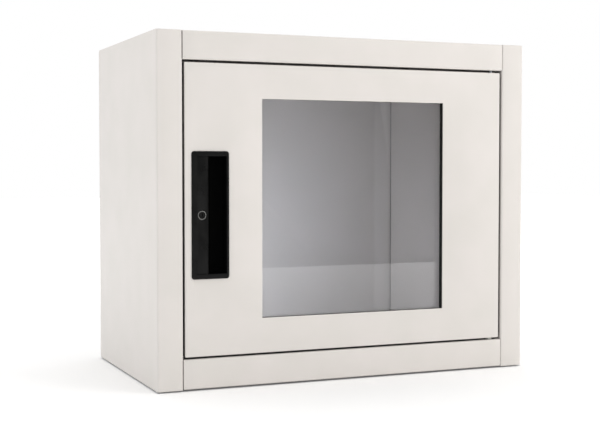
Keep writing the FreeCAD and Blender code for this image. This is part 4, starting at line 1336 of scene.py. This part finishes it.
def square_corner(side, y):
    """Corner of the square that turns the cam, at a depth y."""
    return (lock_centre.x + side * HALF_SQUARE, y, lock_centre.z + side * HALF_SQUARE)


def lock_parts():
    """Cylinder lock: ringed barrel, keyed plug, horseshoe clip, cam and its screw."""
    radius = (lock_high.x - lock_low.x) / 2
    length = lock_high.y - lock_low.y
    bore = radius - 1.95 * MM
    centre = (lock_centre.x, lock_low.y, lock_centre.z)
    profile = [(0.5 * MM, bore), (0.1 * MM, bore + 0.35 * MM), (0, bore + 0.8 * MM),
               (0.1 * MM, radius - 0.6 * MM), (0.5 * MM, radius - 0.15 * MM), (MM, radius),
               (length - 0.5 * MM, radius), (length, radius - 0.5 * MM), (length, bore),
               (0.5 * MM, bore)]
    barrel = lathe("lock_housing", centre, "y", profile, 72)
    clip_low, clip_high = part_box("lock_clip")
    for side in (-1, 1):
        span = sorted((lock_centre.x + side * CLIP_FLAT, lock_centre.x + side * (radius + MM)))
        groove = cube("groove", (span[0], clip_low.y, lock_low.z - MM),
                      (span[1], clip_high.y, lock_centre.z + CLIP_FLAT))
        combine(barrel, groove, "DIFFERENCE")
    soften(barrel, 0.12 * MM, 2)
    fit(barrel, "door", "lock_black", "lock_housing")

    clip = cube("lock_clip", clip_low, clip_high)
    gap = cube("clip_gap", (lock_centre.x - CLIP_FLAT, clip_low.y - MM, clip_low.z - MM),
               (lock_centre.x + CLIP_FLAT, clip_high.y + MM, lock_centre.z + CLIP_FLAT))
    bevel_edges(gap, lambda edge: parallel("y")(edge) and middle(edge).z > lock_centre.z,
                3.5 * MM, 6)
    object_mode()
    combine(clip, gap, "DIFFERENCE")
    soften(clip, 0.25 * MM)
    fit(clip, "door", "zinc_plated_steel", "lock_clip")

    plug_radius = 5 * MM
    plug_length = cam_low.y - plug_low.y
    profile = [(0, 0), (0, plug_radius - 0.5 * MM), (0.3 * MM, plug_radius - 0.1 * MM),
               (0.7 * MM, plug_radius), (plug_length, plug_radius), (plug_length, 0)]
    plug = lathe("lock_plug", (lock_centre.x, plug_low.y, lock_centre.z), "y", profile, 64)
    shank = cube("plug_square", square_corner(-1, cam_low.y - MM), square_corner(1, cam_high.y))
    combine(plug, shank, "UNION")
    half = 0.6 * MM
    reach = 3 * MM
    keyway = cube("keyway", (lock_centre.x - half, plug_low.y - MM, lock_centre.z - reach),
                  (lock_centre.x + half, plug_low.y + 12 * MM, lock_centre.z + reach))
    combine(plug, keyway, "DIFFERENCE")
    soften(plug, 0.15 * MM, 2)
    fit(plug, "lock_plug", "lock_black", "lock_plug")

    cam = cube("lock_cam", cam_low, cam_high)
    bevel_edges(cam, lambda edge: parallel("y")(edge) and middle(edge).z < lock_centre.z,
                4.95 * MM, 10)
    bevel_edges(cam, lambda edge: parallel("y")(edge) and middle(edge).z > cam_high.z - MM,
                3 * MM, 5)
    object_mode()
    square = cube("cam_square", square_corner(-1, cam_low.y - MM),
                  square_corner(1, cam_high.y + MM))
    combine(cam, square, "DIFFERENCE")
    soften(cam, 0.3 * MM)
    fit(cam, "lock_plug", "zinc_plated_steel", "lock_cam")

    low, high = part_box("cam_screw")
    head = (high.x - low.x) / 2
    height = high.y - low.y
    screw = lathe("cam_screw", (lock_centre.x, low.y, lock_centre.z), "y",
                  [(0, 0), (0, head), (1.2 * MM, head), (height - 0.3 * MM, 0.8 * head),
                   (height, 0.6 * head), (height, 0)])
    combine(screw, rod("recess", (lock_centre.x, high.y - 1.4 * MM, lock_centre.z), 2.2 * MM,
                       3 * MM, "y", 6), "DIFFERENCE")
    soften(screw, 0.15 * MM)
    fit(screw, "lock_plug", "zinc_plated_steel", "cam_screw")


# ---------------------------------------------------------------------------
# The whole cabinet
# ---------------------------------------------------------------------------
side_shell("left_side_shell", -1)
side_shell("right_side_shell", 1)
top_shell()
bottom_shell()
back_panel()
liner("left_liner", -1)
liner("right_liner", 1)
feet()
gland_parts()
earth_point("cabinet", "cabinet", "z")
earth_point("door", "door", "y")
hinge_parts()
hinge_spring()
door_panel()
window_parts()
door_seal()
handle_cup()
lock_plate()
handle_fixings()
lock_parts()


# ---------------------------------------------------------------------------
# Studio
# ---------------------------------------------------------------------------
def area_lamp(name, place, target, size, watts, colour):
    """Soft box at a place, turned to its target."""
    data = bpy.data.lights.new(name, "AREA")
    data.shape = "RECTANGLE"
    data.size, data.size_y = size
    data.energy = watts
    data.color = linear(colour)[:3]
    lamp = bpy.data.objects.new(name, data)
    bpy.context.scene.collection.objects.link(lamp)
    lamp.location = place
    way = Vector(target) - Vector(place)
    lamp.rotation_euler = way.to_track_quat("-Z", "Y").to_euler()
    return lamp


def white_surround():
    """White cove behind and above, with a dim room beyond the front of the floor."""
    world = bpy.data.worlds.new("white_studio")
    world.use_nodes = True
    tree = world.node_tree
    tree.nodes.clear()
    place = add(tree, "ShaderNodeTexCoord").outputs["Generated"]
    way = add(tree, "ShaderNodeSeparateXYZ", {}, {"Vector": place})
    depth = add(tree, "ShaderNodeMapRange",
                {"From Min": -0.85, "From Max": -0.35, "To Min": ROOM_LIGHT, "To Max": COVE_LIGHT,
                 "interpolation_type": "SMOOTHSTEP"}, {"Value": way.outputs["Y"]})
    lit = add(tree, "ShaderNodeBackground", {"Color": linear("FFFFFF")},
              {"Strength": depth.outputs["Result"]})
    seen = add(tree, "ShaderNodeBackground", {"Color": linear("FFFFFF"), "Strength": 1.0})
    rays = add(tree, "ShaderNodeLightPath")
    mix = add(tree, "ShaderNodeMixShader", {}, {0: rays.outputs["Is Camera Ray"],
                                                1: lit.outputs["Background"],
                                                2: seen.outputs["Background"]})
    add(tree, "ShaderNodeOutputWorld", {}, {"Surface": mix.outputs["Shader"]})
    bpy.context.scene.world = world


def studio():
    """Floor with a painted glow, a pale surround, three large soft boxes, a fill lamp inside, and
    the camera.
    """
    clear_selection()
    bpy.ops.mesh.primitive_plane_add(size=1, location=(0, FLOOR_DEPTH / 2 - FLOOR_FRONT, 0))
    bpy.context.object.scale = (FLOOR_WIDTH, FLOOR_DEPTH, 1)
    floor = named("floor")
    floor.data.materials.append(painted_glow_floor())

    white_surround()

    aim = (0, 0, (base_z + top_z) / 2)
    area_lamp("front_softbox", (2.1, -2.3, 1.4), aim, (1.8, 1.2), 29, "FFFBF6")
    area_lamp("left_softbox", (-2.6, -0.4, 0.9), aim, (1.8, 1.6), 1.2, "FFFDFA")
    area_lamp("top_softbox", (-0.1, 0.2, 2.4), aim, (3.4, 3.4), 24, "FFFFFF")
    inner = area_lamp("inner_fill", (-0.1, stop_back + 25 * MM, 0.19), (-0.12, rear_inside, 0.14),
                      (0.18, 0.18), 0.5, "F0F5FF")
    inner.visible_camera = False
    inner.visible_glossy = False

    camera = bpy.data.cameras.new("camera")
    camera.lens = 70.49
    camera.sensor_width = 36
    holder = bpy.data.objects.new("camera", camera)
    bpy.context.scene.collection.objects.link(holder)
    holder.location = (-0.7542, -1.75395, 0.3184)
    holder.rotation_euler = (math.radians(87.843), 0, math.radians(-22.96))
    bpy.context.scene.camera = holder
    bpy.context.scene.view_settings.view_transform = "Standard"


studio()
